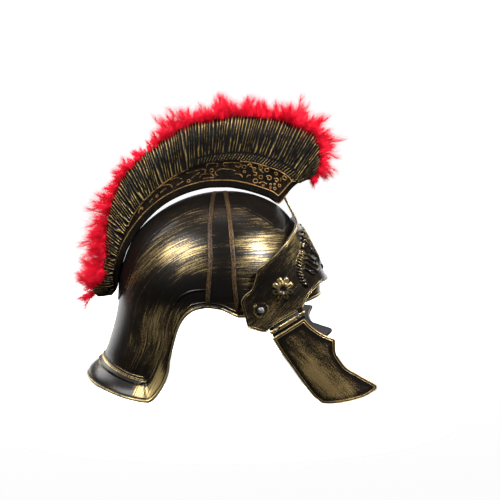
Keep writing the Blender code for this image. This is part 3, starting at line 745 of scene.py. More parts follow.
def gilded_plastic(name, base=BLACK, gold=GOLD, bias=0.0, fine=1.0, rough=0.30, drift=0.45,
                   dash=1.0, gloss=0.3, blotch=1.0, speckle=0.15, edge=0.05):
    """Black plastic with gold dragged over it by a dry brush.  Long and short streaks of
    stretched noise, wide patches and fine specks are added to the gild mark: gold lies where
    the sum is high, and a brown wash where it is middling.  Hollows, where gild is low, are
    duller, and the inside is bare dark grey.

    bias lays on more gold, fine narrows the streaks, dash shortens them, drift strengthens the
    patches, blotch makes them smaller, speckle adds specks and edge softens every border."""
    finish, tree, shader = new_finish(name)
    brush = point_value(tree, "brush", "Vector")
    gild = point_value(tree, "gild")
    inside = point_value(tree, "inside")
    outside = maths(tree, "SUBTRACT", 1.0, inside)
    long_strokes = stretched_noise(tree, brush, (0.017 * dash, fine, fine), 3.0, 0.68)
    short_strokes = stretched_noise(tree, brush, (0.060 * dash, 2.5 * fine, 2.5 * fine), 2.0, 0.6)
    patch = stretched_noise(tree, brush, (0.012 * blotch, 0.05 * blotch, 0.03 * blotch), 2.0, 0.5)
    specks = times(tree, stretched_noise(tree, brush, (0.7, 1.5, 1.5), 2.0, 0.6), speckle)
    streaks = plus(tree, times(tree, long_strokes, 0.55), times(tree, short_strokes, 0.45))
    load = plus(tree, times(tree, patch, drift), gild)
    cover = plus(tree, streaks, load, specks)
    wash = plus(tree, streaks, times(tree, load, WASH_LOAD), specks)
    full = 0.58 + 0.5 * speckle + 0.5 * drift - bias
    thin = 0.525 + 0.5 * speckle + WASH_LOAD * 0.5 * drift - WASH_LOAD * bias
    gold_mask = times(tree, map_range(tree, cover, full - edge, full + edge), outside)
    brown_mask = times(tree, map_range(tree, wash, thin - WASH_EDGE, thin + WASH_EDGE), outside)
    bare = mix_colour(tree, inside, base, BARE_GREY)
    washed = mix_colour(tree, times(tree, brown_mask, 0.8), bare, BROWN_WASH)
    tree.links.new(mix_colour(tree, gold_mask, washed, gold), shader.inputs["Base Color"])
    tree.links.new(plus(tree, times(tree, gold_mask, 0.72), times(tree, brown_mask, 0.28)),
                   shader.inputs["Metallic"])
    hollow = times(tree, map_range(tree, gild, -0.25, -0.45, 0.0, 0.35), outside)
    tree.links.new(plus(tree, times(tree, gold_mask, 0.10), rough, hollow,
                        times(tree, inside, 0.2)), shader.inputs["Roughness"])
    shader.inputs["Specular IOR Level"].default_value = gloss
    raise_bumps(tree, shader, cover, 0.3, 0.0002)
    return finish


def feather_dye_and_painted_light(colour):
    """Soft dyed down with painted light: darker at the root as painted shade deep in the fluff,
    paler towards each barb's tip as painted light through it, more painted shade where the shade
    mark is low, and a faint painted glow in its own colour.
    """
    finish, tree, shader = new_finish("red_down")
    red, green, blue = colour
    root = (red * 0.70, green * 0.70, blue * 0.70)
    pale = (min(red * 1.05, 1.0), green + 0.015, blue + 0.03)
    length = mix_colour(tree, point_value(tree, "tip"), root, pale)
    depth = mix_colour(tree, point_value(tree, "shade"), (red * 0.5, 0.0, blue * 0.3),
                       (1.0, 1.0, 1.0))
    dye_and_shade = mix_colour(tree, 0.6, length, depth, "MULTIPLY")
    tree.links.new(dye_and_shade, shader.inputs["Base Color"])
    # Painted glow: the down gives off a little of its own colour, standing in for light scattered
    # through it.
    tree.links.new(dye_and_shade, shader.inputs["Emission Color"])
    shader.inputs["Emission Strength"].default_value = 0.18
    shader.inputs["Roughness"].default_value = 0.75
    shader.inputs["Specular IOR Level"].default_value = 0.05
    shader.inputs["Sheen Weight"].default_value = 0.05
    shader.inputs["Sheen Tint"].default_value = (1.0, 0.25, 0.3, 1.0)
    return finish


def dull_steel():
    """Plated steel, mottled with small pits and dull spots."""
    finish, tree, shader = new_finish("mottled_steel")
    place = new_node(tree, "ShaderNodeTexCoord").outputs["Object"]
    pits = stretched_noise(tree, place, (900.0, 900.0, 900.0), 3.0, 0.7)
    tree.links.new(mix_colour(tree, map_range(tree, pits, 0.42, 0.58), STEEL_PIT, STEEL_BRIGHT),
                   shader.inputs["Base Color"])
    tree.links.new(map_range(tree, pits, 0.3, 0.7, 0.75, 0.45), shader.inputs["Roughness"])
    shader.inputs["Metallic"].default_value = 0.9
    raise_bumps(tree, shader, pits, 0.5, 0.0003)
    return finish


# ---------------------------------------------------------------- the shell
def dome_reach(drop, forward):
    """Sideways and lengthwise reach of the dome at an angle down from its crown: an ellipse
    across, and a table towards the front and the rear."""
    side = 1 / np.sqrt(np.sin(drop) ** 2 / DOME_SIDE ** 2 + np.cos(drop) ** 2 / DOME_RISE ** 2)
    front = column(DOME_REACH, 1, np.degrees(drop))
    rear = column(DOME_REACH, 2, np.degrees(drop))
    return side, np.where(forward, front, rear)


def dome_skin(turn, drop):
    """Outer skin above the widest level, from the dome's reach in a direction in plan."""
    side, ahead = dome_reach(drop, np.cos(turn) > 0)
    reach = ahead * np.cos(turn) ** 2 + side * np.sin(turn) ** 2
    return np.stack([DOME_X + ahead * np.sin(drop) * np.cos(turn),
                     side * np.sin(drop) * np.sin(turn),
                     DOME_Z + reach * np.cos(drop)], axis=-1)


def neck_axes(z):
    """Front, rear and side reach of the oval section below the widest level."""
    share = np.clip((DOME_Z - z) / NECK_DROP, 0.0, 1.0)
    _, front, rear = DOME_REACH[-1]
    return front, rear + NECK_SPREAD * share ** NECK_CURVE, DOME_SIDE - NECK_TUCK * share


def neck_skin(turn, z, flare):
    """Outer skin below the widest level: an oval that leans out towards the nape."""
    front, rear, side = neck_axes(z)
    ahead = np.where(np.cos(turn) > 0, front, rear)
    out_x = np.cos(turn) / ahead
    out_y = np.sin(turn) / side
    length = np.hypot(out_x, out_y)
    return np.stack([DOME_X + ahead * np.cos(turn) + flare * out_x / length,
                     side * np.sin(turn) + flare * out_y / length,
                     z + np.zeros_like(turn)], axis=-1)


def shell_skin(crown_deg, above_rim):
    """Outer skin on the fan line that leaves the crown at crown_deg, above_rim mm up it."""
    turn_deg = np.abs(crown_deg)
    rim_deg = column(SHELL_RIM, 1, turn_deg)
    rim_z = column(SHELL_RIM, 2, turn_deg)
    rim_flare = column(SHELL_RIM, 3, turn_deg)
    below = np.maximum(DOME_Z - rim_z - above_rim, 0.0)
    share = below / (DOME_Z - rim_z)
    over = np.maximum(above_rim - (DOME_Z - rim_z), 0.0)
    drop = np.clip(1.0 - over / (DOME_RISE * math.pi / 2), 0.0, 1.0) * math.pi / 2
    bend = np.radians(turn_deg + (rim_deg - turn_deg) * share ** 1.5)
    near_rim = np.clip(1.0 - above_rim / FLARE_HEIGHT, 0.0, 1.0)
    low = neck_skin(bend, DOME_Z - below, rim_flare * np.sin(near_rim * math.pi / 2))
    high = dome_skin(np.radians(turn_deg), drop)
    skin = np.where((below > 0)[..., None], low, high)
    skin[..., 1] *= np.where(crown_deg < 0, -1.0, 1.0)
    return skin


def settle(points):
    """Points moved on to the outer skin: from the dome's centre above its widest level, where
    the angle down from the crown is found by a few rounds, and sideways below it."""
    x, y, z = np.moveaxis(np.array(points, float), -1, 0)
    drop = np.full_like(x, 1.0)
    for _ in range(14):
        side, ahead = dome_reach(drop, x > DOME_X)
        over_x = (x - DOME_X) / ahead
        over_y = y / side
        turn = np.arctan2(over_y, over_x)
        reach = ahead * np.cos(turn) ** 2 + side * np.sin(turn) ** 2
        up = np.maximum(z - DOME_Z, 0.0) / reach
        drop = np.arctan2(np.hypot(over_x, over_y), up)
    size = np.sqrt(over_x ** 2 + over_y ** 2 + up ** 2)
    on_dome = np.stack([DOME_X + (x - DOME_X) / size, y / size, DOME_Z + (z - DOME_Z) / size], -1)
    front, rear, side = neck_axes(z)
    share = (x - DOME_X) / np.where(x > DOME_X, front, rear)
    on_neck = np.stack([x, np.sign(y) * side * np.sqrt(np.clip(1 - share ** 2, 0, 1)), z], -1)
    return np.where((z >= DOME_Z)[..., None], on_dome, on_neck)


def stroke_field(points, normals):
    """Brush strokes over the shell: straight fore and aft ahead of the ribs, circles about a
    point above the ear behind them, and lines that lean out towards the nape below it.  Gives
    mm along and across the strokes; on top and behind, sideways mm take over as a third."""
    x, y, z = np.moveaxis(points, -1, 0)
    behind = STROKE_HUB_X - x
    rise = np.maximum(z - STROKE_HUB_Z, 0.0)
    fall = np.maximum(STROKE_HUB_Z - z, 0.0)
    leaning = STROKE_LEAN * beyond(fall, STROKE_LEAN_START)
    angle = np.arctan2(behind, rise)
    radius = np.hypot(behind, rise) - leaning
    along_stroke = np.where(behind > 0, -angle * STROKE_MM_PER_RADIAN - fall, -behind)
    across = np.where(behind > 0, radius, rise - leaning)
    sideways = y * (0.03 + ramp(np.abs(normals[..., 1]), 0.52, 0.12))
    return np.stack([along_stroke, across, sideways], -1)


def gold_load_and_painted_light(points):
    """Where the brush pressed harder on the shell, and painted light: soft round patches, as bell
    curves of the distance in side view; some are painted highlights and some painted shade."""
    x, _, z = np.moveaxis(points, -1, 0)
    load = np.zeros_like(x)
    for at_x, at_z, wide, tall, amount in GOLD_LOADS_AND_PAINTED_LIGHT:
        load += amount * np.exp(-((x - at_x) / wide) ** 2 - ((z - at_z) / tall) ** 2)
    return load


def shell_columns():
    """Crown angles of the fan lines, closer together where the rim turns the nape."""
    front = np.linspace(0.0, 76.0, 34, endpoint=False)
    temple = np.linspace(76.0, 112.0, 40, endpoint=False)
    turn = np.linspace(112.0, 152.0, 92, endpoint=False)
    back = np.linspace(152.0, 180.0, 36)
    half = np.concatenate([front, temple, turn, back])
    return np.concatenate([half, -half[-2:0:-1]])


def shell_relief(turn_deg, above, rim_width):
    """Raised lines that run parallel to the rim, and how much gold each takes, less a painted
    shadow below the nape's ridge and just above the rim.
    """
    rim = bead(above, rim_width / 2, rim_width, 1.2) * (above < rim_width)
    ear = ramp(turn_deg, 80.0, 92.0) * (1 - ramp(turn_deg, 124.0, 136.0))
    inner_line = bead(above, 5.6, 1.4, 0.5) * ear
    nape = ramp(turn_deg, 142.4, 143.4)
    mitre = 3.2 * ramp(turn_deg, 142.4, 146.0)
    ridge = band(above, 19.0 - mitre, 22.9, 2.0, 0.7) * nape
    groove = bead(above, 23.3, 0.9, 0.6) * nape
    thin_line = bead(above, 24.5, 1.1, 0.6) * nape
    side = ramp(turn_deg, 96.0, 106.0) * (1 - nape)
    panel_line = bead(above, 19.5, 1.7, 0.6) * side
    flange_drop = 0.7 * (1 - ramp(above, 18.0, 19.4)) * ramp(above, 3.0, 4.0) * side
    relief = rim + inner_line + ridge - groove + thin_line + panel_line - flange_drop
    # The corner flange's facet takes more gold: partly heavier paint, partly a painted highlight
    # where it catches a lamp.
    corner = ramp(turn_deg, 132.0, 137.0) * (1 - ramp(turn_deg, 146.0, 151.0))
    facet = corner * (1 - ramp(above, 14.0, 18.0))
    gild = ((0.17 + 0.13 * nape) * up_to(rim, 0.9) + 0.06 * up_to(inner_line, 0.3)
            + 0.26 * facet + 0.24 * up_to(ridge, 1.8) - 0.55 * up_to(groove, 0.5)
            + 0.25 * up_to(thin_line, 0.4) + 0.12 * up_to(panel_line, 0.4))
    shadow = 0.3 * (bead(above, 17.3, 3.0, 1.0) * nape + bead(above, rim_width + 0.9, 1.6, 1.0))
    return relief, gild - shadow


def make_shell(settings, finish):
    """The shell's outer skin with its raised lines, rolled over the rim to the inner skin.
    Rows run from the crown down, closer together within 27 mm of the rim."""
    wall = settings.wall / MM
    rim_width = settings.rim / MM
    columns = shell_columns()
    length = DOME_RISE * math.pi / 2 + DOME_Z - column(SHELL_RIM, 2, np.abs(columns))
    upper = np.linspace(0.0, 1.0, 96)[1:, None] ** 0.9
    above = length * (1 - upper) + 27.0 * upper
    edge = np.concatenate([np.arange(26.6, 14.6, -0.4), np.arange(14.0, 7.0, -1.0),
                           np.arange(6.8, 0.1, -0.3), [0.05, 0.0]])
    above = np.concatenate([above, np.repeat(edge[:, None], len(columns), 1)])
    turns = np.broadcast_to(columns, above.shape)
    skin = shell_skin(turns, above)
    centre = (DOME_X, 0, DOME_Z - 60)
    normals = facing(grid_normals(skin, wrap_columns=True), skin, centre)
    relief, gild = shell_relief(np.abs(turns), above, rim_width)
    outer = skin + normals * relief[..., None]
    shares = np.linspace(0.0, 1.0, 34)[:-1, None] ** 1.3
    rise = length * shares
    inner_skin = shell_skin(np.broadcast_to(columns, rise.shape), rise)
    inner_normals = facing(grid_normals(inner_skin, wrap_columns=True), inner_skin, centre)
    inner = inner_skin - inner_normals * wall
    rings = np.concatenate([outer, inner])
    crown = np.array([DOME_X, 0.0, DOME_Z + DOME_RISE])
    count = len(columns)
    points = np.concatenate([[crown], rings.reshape(-1, 3), [crown - wall * UP]])
    after_crown = (grid_quads(len(rings), count, wrap_columns=True),
                   end_fans(len(rings), count, -1, len(points) - 2))
    faces = [group + 1 for group in after_crown]
    inner_count = inner[..., 0].size + 1
    inside = np.concatenate([np.zeros(len(points) - inner_count), np.ones(inner_count)])
    gild = np.concatenate([[0.0], gild.ravel(), np.zeros(inner_count)]) + gold_load_and_painted_light(points)
    facings = np.concatenate([[UP], np.concatenate([normals, inner_normals]).reshape(-1, 3), [UP]])
    put_down("helmet_shell", points, faces, finish, "helmet", "black_gold_plastic",
             ("shell",), brush=stroke_field(points, facings), gild=gild, inside=inside)


def make_saddle(settings, finish):
    """The raised band over the dome: lengthwise and sideways angles from the dome's centre give
    a direction, and the band stands off the skin there, eased down at its edges."""
    rear_end, front_end = SADDLE_EDGE[0][0], SADDLE_EDGE[-1][0]
    lengthwise = np.linspace(rear_end, front_end, 260)
    rounded = np.clip((rear_end + 4.0 - lengthwise) / 4.0, 0, None)
    half = column(SADDLE_EDGE, 1, lengthwise) * np.sqrt(np.clip(1 - rounded ** 2, 0.02, 1))
    shares = np.linspace(-1.0, 1.0, 45)
    shares = np.sign(shares) * np.abs(shares) ** 0.8
    side = np.radians(half[:, None] * shares[None, :])
    pitch = np.radians(lengthwise)[:, None]
    direction = np.stack([np.sin(pitch) * np.cos(side), np.sin(side),
                          np.cos(pitch) * np.cos(side)], -1)
    centre = np.array([DOME_X, 0, DOME_Z])
    rear = neck_skin(np.arctan2(direction[..., 1], direction[..., 0]),
                     DOME_Z + direction[..., 2] * SADDLE_REAR_REACH, 0.0)
    skin = np.where(direction[..., 2:] < 0, rear, settle(centre + direction * DOME_RISE))
    normals = facing(grid_normals(skin), skin, centre)
    from_edge = half[:, None] * (1 - np.abs(shares)[None, :]) * 1.75
    from_end = np.minimum((front_end - lengthwise) * 1.75, (lengthwise - rear_end) * 1.9)[:, None]
    distance = np.minimum(from_edge, from_end + 0.2)
    rise = settings.saddle / MM * np.sqrt(up_to(distance, 1.1))
    rise = rise * (1 - ramp(lengthwise, 28, front_end))[:, None]
    front = skin + normals * (rise - SADDLE_SUNK)[..., None]
    back = skin - normals
    points, faces = sandwich(front, back)
    lip = bead(distance, 1.1, 2.0, 1.0) * (1 - ramp(lengthwise, 26, 38))[:, None]
    dull = -0.13 - 0.04 * ramp(lengthwise, 14, 24)[:, None]
    gild = np.concatenate([(0.20 * lip + dull).ravel(), np.zeros(back[..., 0].size)])
    facings = np.concatenate([normals, normals]).reshape(-1, 3)
    put_down("saddle_band", points, faces, finish, "helmet", "black_gold_plastic",
             brush=stroke_field(points, facings), gild=gild, inside=np.zeros(len(points)))


def rib_path(number, side):
    """Centre line of a rib: a plane curve over the dome and straight down its side."""
    angle = np.linspace(2.0, RIB_ENDS[number], 150)
    x = column(SIDE_RIBS, number, angle)
    turn = np.radians(np.minimum(angle, 90.0))
    scale = np.sqrt(1 - ((x - DOME_X) / 108.0) ** 2)
    y = side * DOME_SIDE * scale * np.sin(turn)
    z = DOME_Z + DOME_RISE * scale * np.cos(turn) - np.maximum(angle - 90.0, 0.0) * 1.35
    return settle(np.stack([x, y, z], -1))


def make_ribs(settings, finish):
    """Flat-topped ribs: a low half oval carried along each centre line on the skin, lifted
    over the saddle band and let down again under the crest."""
    centre = np.array([DOME_X, 0, DOME_Z])
    rise = np.sin(np.linspace(0, 2 * math.pi, 20, endpoint=False))
    parts = []
    for side in SIDES:
        for number in RIB_ENDS:
            path = rib_path(number, side)
            normal = unit(path - centre)
            lift = np.where(np.abs(path[:, 1]) < 47.0, settings.saddle / MM - SADDLE_SUNK, 0.0)
            lift = np.convolve(np.pad(lift, 6, mode="edge"), np.ones(13) / 13, mode="valid")
            lift = lift - ramp(np.abs(path[:, 1]), 30, 12)
            path = path + normal * lift[:, None]
            radii = np.full(len(path), settings.rib / MM / 2)
            radii[-8:] *= np.linspace(1.0, 0.25, 8)
            gild = np.append(np.tile(0.06 - 0.7 * (rise < 0.5), len(path)), [0.2, 0.2])
            parts.append((tubes(path[None], radii[None], normal[None], 0.5, 20, 0.6), gild))
    points, faces, gild = join_gilded(parts)
    put_down("side_ribs", points, faces, finish, "helmet", "black_gold_plastic",
             brush=points[:, [2, 0, 1]], gild=gild, inside=np.zeros(len(points)))


# ---------------------------------------------------------------- the crest
def crest_frame(shares):
    """Foot, edge and relative width of the crest at shares of its length."""
    rows = np.array(CREST_SECTIONS, float)
    inner = along(rows[:, 0:2], shares)
    outer = along(rows[:, 2:4], shares)
    width = smooth(np.linspace(0.0, 1.0, len(rows)), rows[:, 4], shares)
    return inner, outer, width


def crest_foot_length():
    """Length of the crest's foot, in mm."""
    inner, _, _ = crest_frame(np.linspace(0, 1, 400))
    return np.linalg.norm(np.diff(inner, axis=0), axis=1).sum()


def frieze_post(above_foot):
    """Share of the crest's length at which the frieze's leaning front post stands."""
    return FRIEZE_END + 0.00085 * (above_foot - 7.0)


def crest_point(shares, above_foot, side, lift, half_width):
    """A point on the crest's flank, above_foot mm up from its foot, lifted off the surface."""
    inner, outer, width = crest_frame(shares)
    height = np.linalg.norm(outer - inner, axis=-1)
    share = above_foot / height
    across = column(CREST_PROFILE, 1, share) * width * half_width + lift
    spot = inner + (outer - inner) * share[..., None]
    return np.stack([spot[..., 0], side * across, spot[..., 1]], -1)


def pleat_relief(shares, height_share, frieze_share, pleats, seed):
    """Narrow rounded pleats across the crest: powers of cosines of the length along its edge,
    wandering a little, that merge into fewer and wider ones towards the frieze, and below them
    a row of short slanted ones."""
    rng = np.random.default_rng(seed)
    wander = sum(rng.uniform(0.08, 0.22) * np.sin(2 * math.pi * (f * shares + rng.random()
                 + rng.uniform(-0.5, 0.5) * height_share)) for f in (3, 7, 13, 23))
    lean = 1.6 * (shares - 0.45) * (1 - height_share)
    upper = pleats * shares + wander + lean
    lower = 0.70 * pleats * shares + 1.4 * wander + 2.0 * lean
    middle = frieze_share + 0.27 + 0.10 * np.sin(2 * math.pi * (9.0 * shares + 0.3))
    middle = middle + 0.06 * np.sin(2 * math.pi * 31.0 * shares)
    mixing = ramp(height_share, middle - 0.10, middle + 0.10)
    ridge = mixing * crease(upper) + (1 - mixing) * crease(lower)
    slant = 13.0 * ramp(shares, 0.50, 0.64)
    short = crease(0.86 * pleats * shares - slant * (height_share - frieze_share))
    top = frieze_share + 0.11
    there = ramp(shares, 0.50, 0.60) * (1 - ramp(shares, 0.875, 0.90))
    foot = (1 - ramp(height_share, top - 0.01, top + 0.015)) * there
    gap = bead(height_share, top, 0.03, 1.0) * there
    return (ridge * (1 - foot) + 0.9 * short * foot) * (1 - 0.5 * gap)


def crease(phase):
    """A narrow rounded ridge once a turn, with a wider hollow between."""
    return (0.5 + 0.5 * np.cos(2 * math.pi * phase)) ** 2.6


def crest_rows(foot, frieze_top):
    """Height shares and width shares of the section's rows at every sample: up one flank with
    rows gathered about the frieze's edge, over an elliptic top, and down the other."""
    shoulder = 0.86
    level = np.stack([0 * foot, np.minimum(foot, frieze_top * 0.9), frieze_top, frieze_top + 0.11,
                      0 * foot + shoulder])
    parts = [low[:, None] + (high - low)[:, None] * np.linspace(0, 1, count, endpoint=False)
             for low, high, count in zip(level[:-1], level[1:], (3, 6, 13, 13))]
    flank = np.concatenate(parts, axis=1)
    turn = np.linspace(0.0, math.pi / 2, 9)
    crown = shoulder + (1 - shoulder) * np.sin(turn) + 0 * foot[:, None]
    wide = column(CREST_PROFILE, 1, flank)
    top_wide = column(CREST_PROFILE, 1, np.array([shoulder])) * np.cos(turn) + 0 * foot[:, None]
    rise = np.concatenate([flank, crown], axis=1)
    across = np.concatenate([wide, top_wide], axis=1)
    across[:, -1] = 0.0
    return (np.concatenate([rise, rise[:, -2::-1]], axis=1),
            np.concatenate([-across, across[:, -2::-1]], axis=1))


def make_crest(settings, finish):
    """The pleated crest: a section up one flank, over the top and down the other, then back
    along the inside of the channel, carried from the nape to the nose."""
    half_width = settings.half_width / MM
    samples = 720
    shares = np.linspace(0.0, 1.0, samples)
    inner, outer, width = crest_frame(shares)
    height = np.linalg.norm(outer - inner, axis=-1)
    frieze_top = column(CREST_BANDS, 1, shares) / height
    foot = settings.foot / MM / height
    height_share, across = crest_rows(foot, frieze_top)
    spine = inner[:, None] + (outer - inner)[:, None] * height_share[..., None]
    skin = np.stack([spine[..., 0], across * (width * half_width)[:, None], spine[..., 1]], -1)
    middle = (inner + outer) / 2
    centre = np.stack([middle[:, 0], np.zeros(samples), middle[:, 1]], -1)[:, None]
    normals = facing(grid_normals(skin), skin, centre)
    length_share = np.broadcast_to(shares[:, None], skin.shape[:2])
    top = frieze_top[:, None]
    above = ramp(height_share, top - 0.005, top + 0.02)
    ends = ramp(shares, 0.0, 0.012) * (1 - ramp(shares, 0.992, 1.0))
    pleat = pleat_relief(length_share, height_share, top, settings.pleats, 5)
    frieze = (1 - above) * ramp(height_share, foot[:, None], foot[:, None] + 0.01)
    frieze = frieze * (length_share < frieze_post(height_share * height[:, None]))
    relief = settings.pleat_height / MM * pleat * above * ends[:, None] - 0.35 * frieze
    flank = skin + normals * relief[..., None]
    # Painted highlight: the pleats take more gold over the rounded top, where they catch the lamps.
    crown_highlight = ramp(height_share, 0.80, 0.92)
    joins = above * (1 - ramp(height_share, top + 0.22, top + 0.38))
    crest_line = ramp(pleat, 0.34, 0.85)
    gild = ((crest_line * (0.39 + 0.12 * crown_highlight + 0.05 * joins) - 0.30) * above
            - 0.11 * frieze - 0.14 * (1 - above) * (1 - frieze))
    # More gold towards the rear end: partly heavier gold on the pleats there, partly painted light
    # where the lamps reach it less.
    gild = gild + 0.06 * (1 - ramp(length_share, 0.15, 0.40)) * above
    wall = 1.8
    open_part = ramp(shares, 0.09, 0.11) * (1 - ramp(shares, 0.77, 0.79))
    reach = np.clip(1 - wall / height, 0.1, 1) * open_part + 0.02 * (1 - open_part)
    hollow = np.array([(0.0, 1.0), (0.35, 1.0), (0.75, 1.0), (0.94, 0.75), (1.0, 0.0),
                       (0.94, -0.75), (0.75, -1.0), (0.35, -1.0), (0.0, -1.0)])
    inner_across = (width * half_width - wall)[:, None] * hollow[None, :, 1] * 0.96
    depth = hollow[None, :, 0] * reach[:, None]
    inner_spine = inner[:, None] + (outer - inner)[:, None] * depth[..., None]
    channel = np.stack([inner_spine[..., 0], inner_across, inner_spine[..., 1]], -1)
    rings = np.concatenate([flank, channel], axis=1)
    count = rings.shape[1]
    points = rings.reshape(-1, 3)
    caps = [np.arange(count)[None, ::-1], np.arange(count)[None] + (samples - 1) * count]
    faces = [grid_quads(samples, count, wrap_columns=True)] + caps
    hidden = np.ones(channel.shape[:2])
    brush = np.stack([height_share * 70.0, length_share * 400.0, skin[..., 1] * 0.3], -1)
    brush = np.concatenate([brush, np.zeros(channel.shape)], axis=1).reshape(-1, 3)
    put_down("pleated_crest", points, faces, finish, "helmet", "gilt_pleats",
             ("crest_holder",), brush=brush,
             gild=np.concatenate([gild, 0 * hidden], axis=1).ravel(),
             inside=np.concatenate([np.zeros(gild.shape), hidden], axis=1).ravel())


def ring_line(at, above, radius, steps):
    """A flat ring: the cosine and sine of an evenly turned angle, as lengthwise and upward mm."""
    turn = np.radians(np.linspace(0, 360, steps))
    return np.stack([at + radius * np.cos(turn), above + radius * np.sin(turn)], -1)


def curl_line(at, above, radius, start_deg, sweep_deg, steps):
    """A flat spiral whose radius shrinks to a third as it turns."""
    share = np.linspace(0, 1, steps)
    turn = np.radians(start_deg + sweep_deg * share)
    size = radius * (1 - 0.67 * share)
    return np.stack([at + size * np.cos(turn), above + size * np.sin(turn)], -1)


def frieze_drawing():
    """Flat centre lines of the frieze, in mm along the foot and above it, each a smooth curve
    through a few spots, a ring or a curl."""
    steps = 26
    shares = np.linspace(0.0, 1.0, steps)
    lines = [along(spots, shares) for spots in FRIEZE_LINES]
    lines += [ring_line(*ring, steps) for ring in FRIEZE_RINGS]
    lines += [curl_line(*curl, steps) for curl in FRIEZE_CURLS]
    return np.stack(lines)


def make_frieze(settings, finish):
    """Raised lines on both flanks: tubes half sunk in the crest along the drawn lines, and
    the runs of the frieze's frame, each with its places along the crest, its height above the
    foot and its radius."""
    half_width = settings.half_width / MM
    foot_length = crest_foot_length()
    flat = frieze_drawing()
    size = np.full(flat.shape[:2], 0.48)
    size[:, [0, -1]] *= 0.5
    shares = np.linspace(0.10, FRIEZE_END, 300)
    top = column(CREST_BANDS, 1, shares)
    post = np.linspace(7.8, 30.0, 30)
    runs = (
        (shares, np.full_like(shares, settings.foot / MM), 0.52),
        (shares[60:169], top[60:169], 0.62),
        (shares[234:], top[234:], 0.50),
        (frieze_post(post), post, 0.5),
        (np.linspace(FRIEZE_END, 0.905, 12), np.linspace(30.0, 24.5, 12), 0.5),
        (np.linspace(0.87, 0.985, 60), np.full(60, 0.5), 0.55),
        (np.full(40, 0.012), np.linspace(0.4, 8.0, 40), 0.55),
    )
    parts = []
    for side in SIDES:
        sideways = np.array([0.0, side, 0.0])
        paths = crest_point(flat[..., 0] / foot_length, flat[..., 1], side, -0.2, half_width)
        parts.append(tubes(paths, size, np.broadcast_to(sideways, paths.shape), 1.0, 6))
        for at, above, radius in runs:
            path = crest_point(at, above, side, 0.0, half_width)[None]
            radii = np.full((1, len(at)), radius)
            parts.append(tubes(path, radii, np.broadcast_to(sideways, path.shape), 1.0, 6))
    points, faces = join(parts)
    put_down("crest_frieze", points, faces, finish, "helmet", "gilt_pleats",
             brush=points, gild=np.full(len(points), 0.04), inside=np.zeros(len(points)))


# ---------------------------------------------------------------- the feathers
def feather_seats(rng, plumes):
    """Where the plumes stand on the crest's edge: place, outward and lengthwise directions and
    length.  Plumes gather in tufts that share a lean."""
    tufts = 84
    centres = (np.arange(tufts) + rng.uniform(0.2, 0.8, tufts)) / tufts
    lean = rng.normal(0.0, 0.25, tufts)
    vigour = rng.uniform(0.82, 1.06, tufts)
    tuft = rng.integers(0, tufts, plumes)
    shares = np.clip(centres[tuft] + rng.normal(0, 0.0070, plumes), 0.014, 0.990)
    _, outer, _ = crest_frame(shares)
    _, ahead, _ = crest_frame(np.clip(shares + 0.004, 0, 1))
    _, behind, _ = crest_frame(np.clip(shares - 0.004, 0, 1))
    tangent = unit(ahead - behind)
    lengthwise = np.stack([tangent[:, 0], np.zeros(plumes), tangent[:, 1]], -1)
    outward = np.stack([-tangent[:, 1], np.zeros(plumes), tangent[:, 0]], -1)
    length = column(CREST_BANDS, 2, shares) * vigour[tuft]
    place = np.stack([outer[:, 0], np.zeros(plumes), outer[:, 1]], -1)
    sweep = 0.30 * ramp(shares, 0.86, 1.0) - 0.12 * (1 - ramp(shares, 0.0, 0.12))
    return place, outward, lengthwise, length, lean[tuft] + sweep


def feather_barbs(settings, seed, plumes):
    """Barbs of many small plumes.  Each barb leaves its plume's bent shaft at an angle that
    narrows towards the shaft's tip and curves back along it."""
    rng = np.random.default_rng(seed)
    barbs = settings.barbs
    place, outward, lengthwise, length, lean = feather_seats(rng, plumes)
    sideways = np.clip(rng.normal(0, 0.55, plumes), -1.2, 1.2)
    across = np.array([0.0, 1.0, 0.0])
    lean = lean + rng.normal(0, 0.26, plumes)
    shaft = unit(outward * np.cos(sideways)[:, None] + across * np.sin(sideways)[:, None]
                 + lengthwise * lean[:, None])
    reach = length * (0.48 + 0.95 * rng.random(plumes) ** 1.9) * (1 - 0.30 * np.abs(sideways))
    root = place + across * (np.sin(sideways) * 6.5)[:, None] - outward * 1.3
    bend = rng.normal(0, 0.22, (plumes, 3)) - 0.10 * UP
    t = rng.random((plumes, barbs))
    around = rng.uniform(0, 2 * math.pi, (plumes, barbs))
    spread = np.radians(58.0 * (1 - t) ** 0.7 + 9.0 + rng.normal(0, 7.0, (plumes, barbs)))
    first = unit(np.cross(shaft, lengthwise + 0.01))
    second = np.cross(shaft, first)
    radial = (first[:, None] * np.cos(around)[..., None]
              + second[:, None] * np.sin(around)[..., None])
    heading = shaft[:, None] * np.cos(spread)[..., None] + radial * np.sin(spread)[..., None]
    wisp = np.where(rng.random((plumes, barbs)) > 0.84, 1.6, 1.0)
    size = reach[:, None] * (0.52 - 0.16 * t) * rng.uniform(0.6, 1.1, (plumes, barbs)) * wisp + 1.0
    run = reach[:, None, None] * t[..., None]
    start = root[:, None] + shaft[:, None] * run * 0.72 + bend[:, None] * run * t[..., None] * 0.5
    curl = shaft[:, None] * 0.6 + rng.normal(0, 0.30, (plumes, barbs, 3))
    end = start + (heading + 0.5 * curl) * (size * 0.95)[..., None]
    end[..., 0] += beyond(FEATHER_REAR_X - end[..., 0], FEATHER_EASE)
    end[..., 2] -= beyond(end[..., 2] - FEATHER_TOP_Z, FEATHER_EASE)
    return start.reshape(-1, 3), end.reshape(-1, 3), t.ravel(), rng.random(plumes * barbs)


